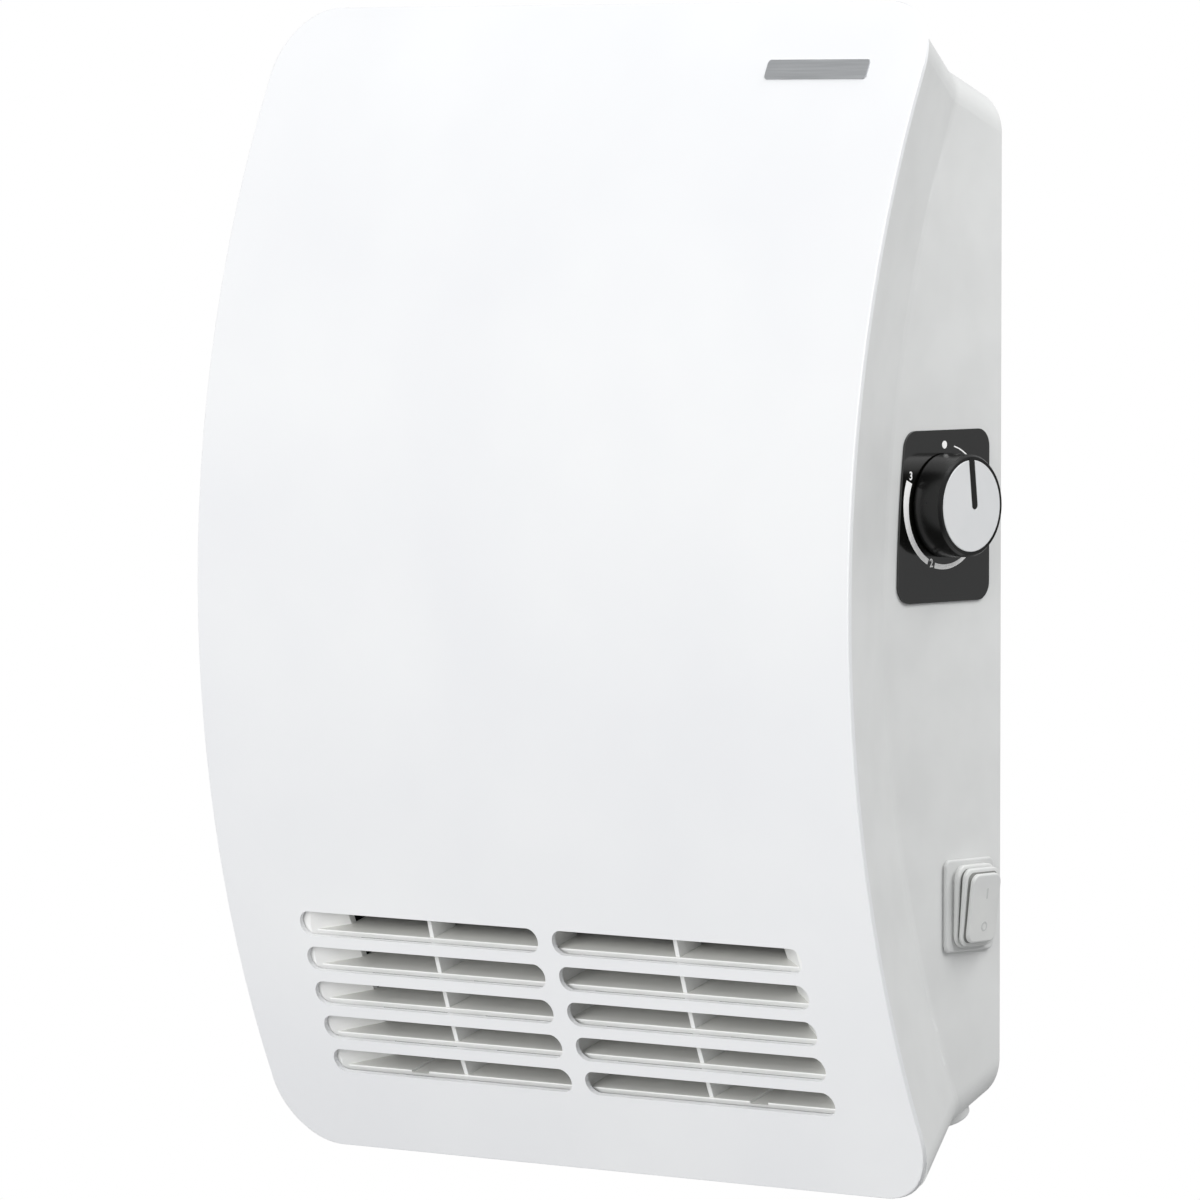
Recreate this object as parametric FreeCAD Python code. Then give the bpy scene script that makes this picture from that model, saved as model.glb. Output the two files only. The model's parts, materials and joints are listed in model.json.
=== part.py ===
import FreeCAD, Part
import math
import os

# Wall-mounted fan convector heater, in millimetres.
# Frame: X to the right seen from the room, Y from the room to the wall, Z up.
# Origin: centre of the back face, on the wall plane.  The front panel faces -Y.

V = FreeCAD.Vector
X_AXIS = V(1, 0, 0)
Y_AXIS = V(0, 1, 0)
Z_AXIS = V(0, 0, 1)

# ---------------------------------------------------------------- driving dimensions
panel_width = 335.0
panel_height = 460.0
total_depth = 123.0
panel_outer_r = 492.0            # bend radius of the painted front face
panel_thickness = 2.0
panel_corner_r = 26.5
panel_edge_round = 0.6

housing_half_width = 145.3       # flat part of the sides
housing_top_z = 195.5            # top and bottom faces at the wall
housing_bottom_z = -196.5
housing_top_slope = 0.41         # outward run of the top face per mm of depth
housing_bottom_slope = 0.45
housing_wall = 2.5
crease_r = 442.5                 # radius about the bend axis where the sides start to flare
flare_half_width = 165.5         # half width where the flare meets the panel
crease_round = 9.0
housing_corner_r = 15.0
housing_rear_round = 1.0

slot_rows = 5
slot_inner_x = 3.7
slot_outer_x = 129.5
slot_height = 10.25              # along the sheet
slot_first_angle = 16.13         # of the top row below the horizontal, about the bend axis
slot_pitch_angle = 1.755

grille_front_r = 489.6
grille_half_width = 133.5
grille_top_z = -128.0
grille_bottom_z = -204.0
throat_bottom_z = -201.0
throat_half_width = 112.6        # inner edge of the sloping surround
throat_y_at_top_row = -93.1      # depth of that edge at throat_ref_z
throat_ref_z = -133.8
throat_tilt = -0.482             # its depth change per mm of height
vane_rise = 0.30                 # a vane climbs this much per mm towards the back
vane_depth = 19.0
vane_thickness = 1.5
vane_lip = 0.5                   # height of its upright front edge
vane_chin_depth = 1.1            # below the lip its underside runs back and down
vane_chin_height = 2.1
vane_lip_rise = 1.9              # top of the front edge above the slot's lower edge
vane_recess = 1.5                # front edge behind the grille's front
grille_rib_x = 63.5

control_y = -37.3                # thermostat axis
control_z = 36.4
plate_rear_y = -9.3
plate_front_r = 434.85           # front edge, about the bend axis
plate_top_z = 65.4
plate_bottom_z = -1.0
plate_corner_r = 7.0
plate_thickness = 1.0
knob_r = 19.75
knob_face_x = 159.6
knob_gap = 0.8                   # between the knob's skirt and the scale plate
knob_disc_r = 17.65
pointer_width = 3.1
knob_disc_depth = 0.8
pointer_rest_angle = 6.6         # pointer leans this far towards the room at rest
pointer_offset = 2.0             # the bar lies this far beside the axis, on the wall side
shaft_r = 3.0
bush_r = 4.9                     # threaded neck of the thermostat
bush_hole_r = 5.1
running_clearance = 0.04         # radial, in every bearing

switch_y = -22.0
switch_z = -119.1
bezel_size_y = 30.0
bezel_size_z = 36.0
bezel_thickness = 2.0
bezel_foot_height = 0.7          # the bezel stands on a narrower foot, which leaves a shadow line
bezel_foot_inset = 0.8
rocker_size_y = 17.4
rocker_size_z = 27.0
rocker_tilt = 7.0                # either way from level
rocker_pivot_x = 147.2
rocker_face_distance = 7.5       # from the pivot to the level face
boot_size_y = 23.0               # the boot's foot on the bezel
boot_size_z = 32.0

fan_axis_y = -48.0
fan_axis_z = -92.0
fan_wheel_r = 32.0
fan_wheel_left_x = -94.0
fan_wheel_right_x = 104.0
fan_blades = 28
fan_shaft_r = 2.0
end_plate_left_x = -101.2
end_plate_right_x = 110.0
sheet = 1.2                      # steel sheet inside

# ---------------------------------------------------------------- derived places
bend_axis_y = panel_outer_r - total_depth
panel_inner_r = panel_outer_r - panel_thickness
side_x = housing_half_width
side_inner_x = housing_half_width - housing_wall
plate_face_x = side_x + plate_thickness
knob_skirt_x = plate_face_x + knob_gap
bezel_face_x = side_x + bezel_thickness
slot_angles = [-(slot_first_angle + row * slot_pitch_angle) for row in range(slot_rows)]


# ---------------------------------------------------------------- small helpers
def box(x0, y0, z0, x1, y1, z1):
    """Block between two corners."""
    low = V(min(x0, x1), min(y0, y1), min(z0, z1))
    return Part.makeBox(abs(x1 - x0), abs(y1 - y0), abs(z1 - z0), low)


def rod(start, end, radius):
    """Round bar between two points."""
    along = end - start
    return Part.makeCylinder(radius, along.Length, start, along)


def pipe(start, end, outer, inner):
    return rod(start, end, outer).cut(rod(start, end, inner))


def prism_x(points, x0, x1):
    """Outline of (y, z) points, extruded from x0 to x1."""
    wire = Part.makePolygon([V(x0, y, z) for y, z in points + points[:1]])
    return Part.Face(wire).extrude(V(x1 - x0, 0, 0))


def arc_y(radius, z):
    """Depth of a surface of this radius about the bend axis, at height z."""
    return bend_axis_y - math.sqrt(radius ** 2 - z ** 2)


def drum(radius, half_width=220.0):
    """Solid cylinder about the bend axis."""
    start = V(-half_width, bend_axis_y, 0)
    return rod(start, V(half_width, bend_axis_y, 0), radius)


def rounded_rectangle(width, height, radius):
    """Closed wire in the XY plane, centred on the origin."""
    a = width / 2
    b = height / 2
    k = radius * (1 - math.sqrt(0.5))
    edges = []
    for sx, sy, turned in ((1, 1, False), (-1, 1, True), (-1, -1, False), (1, -1, True)):
        on_side = V(sx * a, sy * (b - radius), 0)
        middle = V(sx * (a - k), sy * (b - k), 0)
        on_end = V(sx * (a - radius), sy * b, 0)
        ends = (on_end, on_side) if turned else (on_side, on_end)
        edges.append(Part.Arc(ends[0], middle, ends[1]).toShape())
    corners = [(e.valueAt(e.FirstParameter), e.valueAt(e.LastParameter)) for e in edges]
    for i in range(4):
        start = corners[i][1]
        end = corners[(i + 1) % 4][0]
        if (end - start).Length > 1e-6:
            edges.append(Part.LineSegment(start, end).toShape())
    return Part.Wire(Part.__sortEdges__(edges))


def slab_y(width, height, radius, y0, y1, x=0.0, z=0.0):
    """Rounded rectangle standing in the XZ plane, from y0 to y1."""
    wire = rounded_rectangle(width, height, radius)
    wire.rotate(V(0, 0, 0), X_AXIS, 90)
    wire.translate(V(x, y0, z))
    return Part.Face(wire).extrude(V(0, y1 - y0, 0))


def slab_x(size_y, size_z, radius, x0, x1, y, z):
    """Rounded rectangle standing in the YZ plane, from x0 to x1."""
    wire = rounded_rectangle(size_z, size_y, radius)
    wire.rotate(V(0, 0, 0), Y_AXIS, 90)
    wire.translate(V(x0, y, z))
    return Part.Face(wire).extrude(V(x1 - x0, 0, 0))


def fused(solids):
    """One solid out of several that touch or overlap."""
    result = solids[0].fuse(solids[1:]) if len(solids) > 1 else solids[0]
    return result.removeSplitter()


def turned_x(shape, degrees, y=0.0, z=0.0):
    copy = shape.copy()
    copy.rotate(V(0, y, z), X_AXIS, degrees)
    return copy


def wire_run(points, radius):
    """Round tube along straight runs joined by tangent arcs."""
    bend = 0.45
    edges = []
    start = points[0]
    for i in range(1, len(points) - 1):
        before = points[i] - points[i - 1]
        after = points[i + 1] - points[i]
        half_turn = before.getAngle(after) / 2
        setback = bend * min(before.Length, after.Length)
        arc_radius = setback / math.tan(half_turn)
        before.normalize()
        after.normalize()
        arc_start = points[i] - before * setback
        arc_end = points[i] + after * setback
        inward = after - before
        inward.normalize()
        middle = points[i] + inward * (arc_radius / math.cos(half_turn) - arc_radius)
        edges.append(Part.LineSegment(start, arc_start).toShape())
        edges.append(Part.Arc(arc_start, middle, arc_end).toShape())
        start = arc_end
    edges.append(Part.LineSegment(start, points[-1]).toShape())
    first = points[1] - points[0]
    profile = Part.Wire(Part.makeCircle(radius, points[0], first))
    return Part.Wire(edges).makePipeShell([profile], True, False)


def pan_screw(head_centre, direction, shank_r, length, head_r, head_height):
    """Pan-head screw: direction points from the head into the work."""
    d = V(direction)
    d.normalize()
    shank = rod(head_centre, head_centre + d * length, shank_r)
    head = rod(head_centre - d * head_height, head_centre, head_r)
    top = [e for e in head.Edges
           if abs((e.CenterOfMass - head_centre).dot(d) + head_height) < 1e-6]
    head = head.makeFillet(head_height * 0.6, top[:1])
    recess_depth = head_height * 0.55
    across = V(d.z, d.x, d.y)
    across = across - d * across.dot(d)
    across.normalize()
    recess = None
    for turn in (0, 90):
        bar = Part.makeBox(head_r * 1.3, head_r * 0.28, recess_depth,
                           V(-head_r * 0.65, -head_r * 0.14, 0))
        bar.rotate(V(0, 0, 0), Z_AXIS, turn)
        recess = bar if recess is None else recess.fuse(bar)
    recess.Placement = FreeCAD.Placement(head_centre - d * head_height,
                                         FreeCAD.Rotation(Z_AXIS, d))
    return shank.fuse(head).cut(recess).removeSplitter()


# ---------------------------------------------------------------- housing
def side_profile(half_width, flare_width, round_r, front_r):
    """Section (x, radius) across the sides: flat, then a rounded crease, then the flare."""
    back_r = 300.0
    slope = (flare_width - half_width) / (panel_inner_r - crease_r)
    front_width = half_width + slope * (front_r - crease_r)
    turn = math.atan(slope)
    tangent = round_r * math.tan(turn / 2)
    straight_end = V(half_width, crease_r - tangent, 0)
    flare_start = V(half_width + tangent * math.sin(turn), crease_r + tangent * math.cos(turn), 0)
    centre = V(half_width + round_r, crease_r - tangent, 0)
    middle = centre + V(-round_r * math.cos(turn / 2), round_r * math.sin(turn / 2), 0)
    right = [V(half_width, back_r, 0), straight_end, middle, flare_start, V(front_width, front_r, 0)]
    left = [V(-p.x, p.y, 0) for p in right]
    edges = [
        Part.LineSegment(left[0], right[0]),
        Part.LineSegment(right[0], right[1]),
        Part.Arc(right[1], right[2], right[3]),
        Part.LineSegment(right[3], right[4]),
        Part.LineSegment(right[4], left[4]),
        Part.LineSegment(left[4], left[3]),
        Part.Arc(left[3], left[2], left[1]),
        Part.LineSegment(left[1], left[0]),
    ]
    return Part.Wire([e.toShape() for e in edges])


def top_z(y, offset=0.0):
    """Height of the top face at depth y, moved inwards by offset."""
    return housing_top_z - housing_top_slope * y - offset * math.hypot(1, housing_top_slope)


def bottom_z(y, offset=0.0):
    return housing_bottom_z + housing_bottom_slope * y + offset * math.hypot(1, housing_bottom_slope)


def corner_edges(body, half_width, offset):
    """The edges of the four long corners, where the sides meet the top and the bottom."""
    found = []
    for edge in body.Edges:
        span = edge.LastParameter - edge.FirstParameter
        on_corner = edge.BoundBox.YLength > 1.0
        for share in (0.1, 0.5, 0.9):
            point = edge.valueAt(edge.FirstParameter + span * share)
            end_z = top_z(point.y, offset) if point.z > 0 else bottom_z(point.y, offset)
            at_end = abs(point.z - end_z) < 0.01
            at_side = abs(point.x) > half_width - 0.01
            on_corner = on_corner and at_end and at_side
        if on_corner:
            found.append(edge)
    return found


def housing_form(offset, back_y, front_r):
    """Solid outer form of the housing, moved inwards by offset."""
    half_width = housing_half_width - offset
    profile = side_profile(half_width, flare_half_width - offset, crease_round + offset, front_r)
    profile.rotate(V(0, 0, 0), X_AXIS, 180)
    profile.translate(V(0, bend_axis_y, 0))
    sector = 34.0
    face = Part.Face(profile)
    face.rotate(V(0, bend_axis_y, 0), X_AXIS, -sector)
    sides = face.revolve(V(0, bend_axis_y, 0), X_AXIS, 2 * sector)

    front_y = -145.0
    outline = [(back_y, bottom_z(back_y, offset)), (back_y, top_z(back_y, offset)),
               (front_y, top_z(front_y, offset)), (front_y, bottom_z(front_y, offset))]
    form = sides.common(prism_x(outline, -200, 200)).Solids[0]
    return form.makeFillet(housing_corner_r - offset, corner_edges(form, half_width, offset))


intake_slots = 25
intake_pitch = 9.0
intake_width = 4.5
intake_front_y = -42.0
intake_back_y = -12.0

recess_half_width = 112.0
recess_low_z = 52.0
recess_high_z = 138.0
recess_depth = 2.0
hook_x = 80.0
hook_width = 16.0
hook_rest_z = 85.5

grille_post_x = 138.3
grille_posts = ((-146.0, -89.0), (-190.0, -73.0))     # (z, y of the post's end)
post_r = 4.5
screw_hole_r = 1.3

panel_screw_x = 129.0
panel_screw_y = -14.0
boss_r = 9.6
boss_height = 1.2
boss_round = 1.1
screw_head_seat = 2.2            # below the boss's outer face

gland_y = -22.0
gland_z = -167.0
gland_thread_r = 8.0

scroll_post_x = 70.0
scroll_post_z = -56.0
scroll_post_end_y = -13.0
foot_z = -158.0
foot_y = -7.3


def bottom_face_point(x, y, inset):
    """Point on the bottom face at depth y, moved inwards by inset, and the inward normal."""
    normal = V(0, -housing_bottom_slope, 1)
    normal.normalize()
    return V(x, y, bottom_z(y)) + normal * inset, normal


def intake_cutters():
    cutters = []
    for i in range(intake_slots):
        x = (i - (intake_slots - 1) / 2) * intake_pitch
        length = intake_back_y - intake_front_y
        slot = rounded_rectangle(intake_width, length, intake_width / 2 - 0.01)
        slot.translate(V(x, (intake_back_y + intake_front_y) / 2, 185))
        cutters.append(Part.Face(slot).extrude(V(0, 0, 45)))
    return cutters


def make_rear_housing():
    outer = housing_form(0.0, 0.0, panel_inner_r)
    rim = [e for e in outer.Edges if e.BoundBox.YLength < 1e-6 and abs(e.BoundBox.YMax) < 1e-6]
    outer = outer.makeFillet(housing_rear_round, rim)
    inner = housing_form(housing_wall, -housing_wall, panel_inner_r + 5)
    shell = outer.cut(inner)

    added = []
    added.append(box(-recess_half_width - housing_wall, -housing_wall - recess_depth,
                     recess_low_z - housing_wall,
                     recess_half_width + housing_wall, -1, recess_high_z + housing_wall))
    for side in (-1, 1):
        for z, end_y in grille_posts:
            added.append(rod(V(side * grille_post_x, -1, z), V(side * grille_post_x, end_y, z), post_r))
        base, inward = bottom_face_point(side * panel_screw_x, panel_screw_y, 0)
        bump = rod(base - inward * boss_height, base + inward * (housing_wall + 3.0), boss_r)
        outer_rim = [e for e in bump.Edges
                     if abs((e.CenterOfMass - base).dot(inward) + boss_height) < 1e-3]
        added.append(bump.makeFillet(boss_round, outer_rim[:1]))
        added.append(rod(V(side * scroll_post_x, -1, scroll_post_z),
                         V(side * scroll_post_x, scroll_post_end_y, scroll_post_z), post_r))
    for x in (end_plate_left_x - 7, end_plate_right_x + sheet + 7):
        added.append(rod(V(x, -1, foot_z), V(x, foot_y, foot_z), post_r))
    keep_inside = housing_form(0.3, -0.5, panel_inner_r)
    bumps = [a for a in added if a.BoundBox.ZMin < housing_bottom_z]
    ribs = [a.common(keep_inside) for a in added if a not in bumps]
    shell = shell.fuse(ribs + bumps)

    cutters = intake_cutters()
    cutters.append(box(-recess_half_width, -recess_depth, recess_low_z,
                       recess_half_width, 1, recess_high_z))
    for side in (-1, 1):
        cutters.append(box(side * hook_x - hook_width / 2 - 1, -8, hook_rest_z - 13,
                           side * hook_x + hook_width / 2 + 1, 1, hook_rest_z))
        for z, end_y in grille_posts:
            cutters.append(rod(V(side * grille_post_x, end_y - 1, z),
                               V(side * grille_post_x, end_y + 14, z), screw_hole_r))
        base, inward = bottom_face_point(side * panel_screw_x, panel_screw_y, 0)
        cutters.append(rod(base - inward * 5, base + inward * 8, 2.2))
        cutters.append(rod(base - inward * 5, base - inward * (boss_height - screw_head_seat), 4.0))
        cutters.append(rod(V(side * scroll_post_x, scroll_post_end_y - 1, scroll_post_z),
                           V(side * scroll_post_x, -4, scroll_post_z), screw_hole_r))
    for x in (end_plate_left_x - 7, end_plate_right_x + sheet + 7):
        cutters.append(rod(V(x, foot_y - 1, foot_z), V(x, -1.8, foot_z), screw_hole_r))
    cutters.append(rod(V(side_inner_x - 2, control_y, control_z), V(side_x + 1, control_y, control_z),
                       bush_hole_r))
    cutters.append(box(side_inner_x - 2, switch_y - 11.2, switch_z - 15.2,
                       side_x + 1, switch_y + 11.2, switch_z + 15.2))
    cutters.append(rod(V(-side_x - 1, gland_y, gland_z), V(-side_inner_x + 2, gland_y, gland_z),
                       gland_thread_r + 0.2))
    return shell.cut(cutters).removeSplitter()


# ---------------------------------------------------------------- front panel
def slot_cutter(angle, x0, x1, front_r, back_r, height):
    """Slot with round ends, cut square to the sheet at this angle about the bend axis."""
    wire = rounded_rectangle(x1 - x0, height, height / 2 - 0.01)
    wire.rotate(V(0, 0, 0), X_AXIS, 90)
    wire.translate(V((x0 + x1) / 2, bend_axis_y - front_r, 0))
    cutter = Part.Face(wire).extrude(V(0, front_r - back_r, 0))
    return turned_x(cutter, -angle, bend_axis_y, 0)


def make_front_panel():
    outline = slab_y(panel_width, panel_height, panel_corner_r, -140, -20)
    sheet_ring = drum(panel_outer_r).cut(drum(panel_inner_r))
    panel = outline.common(sheet_ring).Solids[0]
    face_edges = []
    for edge in panel.Edges:
        middle = edge.valueAt((edge.FirstParameter + edge.LastParameter) / 2)
        radius = math.hypot(middle.y - bend_axis_y, middle.z)
        if abs(radius - panel_outer_r) < 0.05 and edge.Length > 1:
            face_edges.append(edge)
    panel = panel.makeFillet(panel_edge_round, face_edges)
    cutters = []
    for angle in slot_angles:
        for x0, x1 in ((-slot_outer_x, -slot_inner_x), (slot_inner_x, slot_outer_x)):
            cutters.append(slot_cutter(angle, x0, x1, panel_outer_r + 4, panel_inner_r - 4, slot_height))
    return panel.cut(cutters)


bracket_tab_gap = 3.0            # between the tab and the inside of the bottom face
tab_pad_low_z = -222.5


def make_panel_brackets():
    """Two top hooks and two bottom tabs, spot-welded to the back of the front panel."""
    pieces = []
    weld_r = panel_inner_r
    ring = drum(weld_r).cut(drum(weld_r - sheet))
    for side in (-1, 1):
        x0 = side * (panel_screw_x - 7)
        x1 = side * (panel_screw_x + 3)
        pad = box(x0, -90, tab_pad_low_z, x1, -60, -205).common(ring)
        base, inward = bottom_face_point(side * panel_screw_x, panel_screw_y, housing_wall + bracket_tab_gap)
        slope = housing_bottom_slope
        rear_y = panel_screw_y + 6
        front_y = -78.0
        low_rear = base.z + slope * (rear_y - base.y)
        low_front = base.z + slope * (front_y - base.y)
        tab = prism_x([(rear_y, low_rear), (front_y, low_front),
                       (front_y, low_front + sheet), (rear_y, low_rear + sheet)], x0, x1)
        tab = tab.common(drum(weld_r))
        hole = rod(base - inward * 3, base + inward * 4, 1.6)
        pieces.append(tab.fuse(pad).cut(hole).removeSplitter())

        hx0 = side * 58
        hx1 = side * 78
        pad = box(hx0, -110, 196, hx1, -60, 212).common(ring)
        arm_y = arc_y(weld_r, 198)
        arm = box(hx0, arm_y, 196, hx1, arm_y + 14, 196 + sheet)
        lip = box(hx0, arm_y + 14 - sheet, 190, hx1, arm_y + 14, 196 + sheet)
        pieces.append(fused([arm.common(drum(weld_r)), lip, pad]))
    return pieces


# ---------------------------------------------------------------- outlet grille
def throat_y(z):
    """Depth of the sloping surround's inner edge."""
    return throat_y_at_top_row + throat_tilt * (z - throat_ref_z)


def surround_opening():
    """Funnel from just behind the panel's slots to the throat."""
    front_gap = 4.0
    high_z = grille_top_z - 2.5
    throat_drop = 1.2                            # the funnel's roof comes down this much to the throat
    wires = []
    for y_of, half in ((lambda z: arc_y(panel_inner_r, z) - front_gap, slot_outer_x + 2.0),
                       (throat_y, throat_half_width)):
        roof_z = high_z if half > throat_half_width else high_z - throat_drop
        corners = [V(-half, y_of(roof_z), roof_z),
                   V(half, y_of(roof_z), roof_z),
                   V(half, y_of(throat_bottom_z), throat_bottom_z),
                   V(-half, y_of(throat_bottom_z), throat_bottom_z)]
        wires.append(Part.makePolygon(corners + corners[:1]))
    return Part.makeLoft(wires, True, True)


def vane(row, behind):
    """Sloping vane whose front edge, a lip over a chin, lies near the bottom of a slot row."""
    angle = math.radians(slot_angles[row])
    half_height = slot_height / 2 / panel_inner_r
    low_z = panel_inner_r * math.sin(angle - half_height)
    front_z = low_z + vane_lip_rise
    front_y = arc_y(grille_front_r - vane_recess, front_z)
    back_y = front_y + vane_depth
    rise = vane_rise * vane_depth
    nose = [(front_y + vane_chin_depth, front_z - vane_chin_height), (front_y, front_z - vane_lip),
            (front_y, front_z)]
    back = [(back_y, front_z + rise), (back_y, front_z + rise - vane_thickness)]
    return prism_x(nose + back, -behind, behind), front_y, front_z


def make_outlet_grille():
    frame_outline = [(-112, grille_top_z), (throat_y(grille_top_z) + 1.5, grille_top_z),
                     (throat_y(grille_bottom_z) + 1.5, grille_bottom_z), (-112, grille_bottom_z)]
    frame = prism_x(frame_outline, -grille_half_width, grille_half_width)
    frame = frame.common(drum(grille_front_r))
    opening = surround_opening()
    shell = frame.cut(opening)

    roof_z = grille_top_z - 3.7
    floor_z = throat_bottom_z
    collar_outline = [(throat_y(roof_z), roof_z), (throat_y(roof_z) + collar_depth, roof_z),
                      (throat_y(floor_z) + collar_depth, floor_z), (throat_y(floor_z), floor_z)]
    thick = 1.5
    outer = [(y, z + (thick if z == roof_z else -thick)) for y, z in collar_outline]
    collar = prism_x(outer, -throat_half_width - thick, throat_half_width + thick)
    throat = prism_x([(y - 3, z) if i in (0, 3) else (y + 30, z)
                      for i, (y, z) in enumerate(collar_outline)],
                     -throat_half_width, throat_half_width)
    shell = shell.fuse(collar).cut(throat)
    shell = shell.cut(opening)

    inside = opening.common(drum(grille_front_r)).fuse(throat)
    blades = []
    for row in range(slot_rows):
        blade, front_y, front_z = vane(row, grille_half_width)
        blade = blade.common(inside)
        if row == slot_rows - 1:
            for side in (-1, 1):
                channel = box(side * 87.7 - 4.6, front_y - 2, front_z - 1.0,
                              side * 87.7 + 4.6, front_y + vane_depth + 1, front_z + 12)
                slope = math.degrees(math.atan(vane_rise))
                channel.rotate(V(0, front_y, front_z), X_AXIS, slope)
                blade = blade.cut(channel)
        blades.append(blade)
    rib_low_z = throat_bottom_z + 0.5
    rib_outline = [(-108, grille_top_z - 2), (throat_y(grille_top_z) + 8, grille_top_z - 2),
                   (throat_y(rib_low_z) + 7, rib_low_z), (-76, rib_low_z)]
    rib_drum = drum(grille_front_r - 2.0)
    ribs = []
    for x in (-grille_rib_x, 0.0, grille_rib_x):
        ribs.append(prism_x(rib_outline, x - 1.0, x + 1.0).common(rib_drum))
    ears = []
    holes = []
    for side in (-1, 1):
        for z, end_y in grille_posts:
            ear = box(side * (grille_half_width - 2), end_y - 2.5, z - 5,
                      side * (grille_post_x + 4), end_y, z + 5)
            ears.append(ear)
            holes.append(rod(V(side * grille_post_x, end_y - 4, z),
                             V(side * grille_post_x, end_y + 1, z), 1.7))
    solid = shell.fuse(blades + ribs + ears).cut(holes).removeSplitter()
    return solid


# ---------------------------------------------------------------- control: plate, thermostat, knob
def control_axis(x0, x1, radius):
    return rod(V(x0, control_y, control_z), V(x1, control_y, control_z), radius)


def make_scale_plate():
    plate = box(side_x, -100, plate_bottom_z, plate_face_x, plate_rear_y, plate_top_z)
    plate = plate.common(drum(plate_front_r)).Solids[0]
    corners = [e for e in plate.Edges if e.BoundBox.XLength > plate_thickness / 2]
    plate = plate.makeFillet(plate_corner_r, corners)
    return plate.cut(control_axis(side_x - 1, plate_face_x + 1, bush_hole_r))


bush_end_x = 150.2
thermostat_back_x = 116.0
nut_height = 2.5


def make_thermostat_body():
    case = slab_x(32, 32, 3, thermostat_back_x, side_inner_x - 1.5, control_y, control_z)
    flange = slab_x(38, 26, 2, side_inner_x - 1.5, side_inner_x, control_y, control_z)
    bush = control_axis(side_inner_x - 1, bush_end_x, bush_r)
    bore = control_axis(thermostat_back_x + 6, bush_end_x + 1, shaft_r + running_clearance)
    tabs = [box(thermostat_back_x - 7, control_y + y - 3.15, control_z - 12,
                thermostat_back_x + 1, control_y + y + 3.15, control_z - 11.2) for y in (-9, 9)]
    return fused([case, flange, bush] + tabs).cut(bore)


def make_thermostat_nut():
    corners = [(control_y + 8.0 * math.cos(math.radians(60 * i)),
                control_z + 8.0 * math.sin(math.radians(60 * i))) for i in range(6)]
    nut = prism_x(corners, plate_face_x, plate_face_x + nut_height)
    return nut.cut(control_axis(plate_face_x - 1, plate_face_x + 5, bush_r))


def make_thermostat_shaft():
    shaft = control_axis(thermostat_back_x + 7, knob_face_x - knob_disc_depth - 2.0, shaft_r)
    flat = box(bush_end_x + 0.6, control_y - 5, control_z + shaft_r - 1.2,
               knob_face_x, control_y + 5, control_z + 6)
    return shaft.cut(flat)


def pointer_frame(shape):
    """Turn a shape built with its pointer straight up to the rest position."""
    return turned_x(shape, pointer_rest_angle, control_y, control_z)


def pointer_bar(x0, x1, width, outer_r):
    y = control_y + pointer_offset
    bar = box(x0, y - width / 2, control_z, x1, y + width / 2, control_z + outer_r)
    end = rod(V(x0, y, control_z), V(x1, y, control_z), width / 2)
    return bar.fuse(end).removeSplitter()


def make_knob():
    disc_floor_x = knob_face_x - knob_disc_depth
    edge_x = knob_face_x - 0.2
    points = [(knob_skirt_x, knob_r - 3.0), (knob_skirt_x, knob_r + 0.35),
              (knob_skirt_x + 1.2, knob_r + 0.35), (edge_x - 1.0, knob_r),
              (edge_x, knob_r - 0.8), (edge_x, knob_disc_r + 0.1),
              (disc_floor_x, knob_disc_r + 0.1), (disc_floor_x, 0.0),
              (disc_floor_x - 2.0, 0.0), (disc_floor_x - 2.0, shaft_r),
              (bush_end_x + 0.6, shaft_r), (bush_end_x + 0.6, 6.5),
              (disc_floor_x - 2.5, 6.5), (disc_floor_x - 2.5, knob_r - 3.0)]
    wire = Part.makePolygon([V(x, control_y + r, control_z) for x, r in points + points[:1]])
    knob = Part.Face(wire).revolve(V(0, control_y, control_z), X_AXIS, 360)
    flat = box(bush_end_x + 0.6, control_y - 4, control_z + shaft_r - 1.2,
               disc_floor_x - 1.0, control_y + 4, control_z + 5)
    bar = pointer_bar(disc_floor_x - 0.5, knob_face_x, pointer_width, knob_disc_r + 0.6)
    return pointer_frame(knob.fuse([bar])).fuse(flat).removeSplitter()


def make_knob_disc():
    disc = control_axis(knob_face_x - knob_disc_depth, knob_face_x, knob_disc_r)
    slot = pointer_bar(knob_face_x - 2, knob_face_x + 1, pointer_width + 0.16, knob_disc_r + 2)
    disc = disc.cut(slot)
    rim = [e for e in disc.Edges if e.BoundBox.XMin > knob_face_x - 1e-4]
    return pointer_frame(disc.makeChamfer(0.2, rim))


bulb_z = 112.0
bulb_y = -22.0


def make_thermostat_bulb():
    """Sensing bulb in the intake air with its capillary back to the thermostat."""
    bulb = rod(V(18, bulb_y, bulb_z), V(76, bulb_y, bulb_z), 3.0)
    route = [V(76, bulb_y, bulb_z), V(92, bulb_y, bulb_z), V(106, bulb_y, bulb_z - 10),
             V(110, bulb_y - 4, bulb_z - 32), V(100, control_y + 2, control_z + 22),
             V(102, control_y + 2, control_z + 4), V(thermostat_back_x, control_y + 2, control_z + 4)]
    return bulb.fuse(wire_run(route, 0.9)).removeSplitter()


def make_bulb_clips():
    clips = []
    for x in (28, 66):
        ring = pipe(V(x - 4, bulb_y, bulb_z), V(x + 4, bulb_y, bulb_z), 4.0, 3.0)
        gap = box(x - 5, bulb_y - 6, bulb_z - 1.5, x + 5, bulb_y - 2, bulb_z + 1.5)
        foot = box(x - 4, bulb_y + 3.4, bulb_z - 3, x + 4, -housing_wall - recess_depth, bulb_z + 3)
        clips.append(ring.cut(gap).fuse(foot).removeSplitter())
    return clips


# ---------------------------------------------------------------- switch
pivot_r = 1.5
switch_back_x = 126.0
well_half_y = 7.3
cheek_half_y = 8.6


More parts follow.
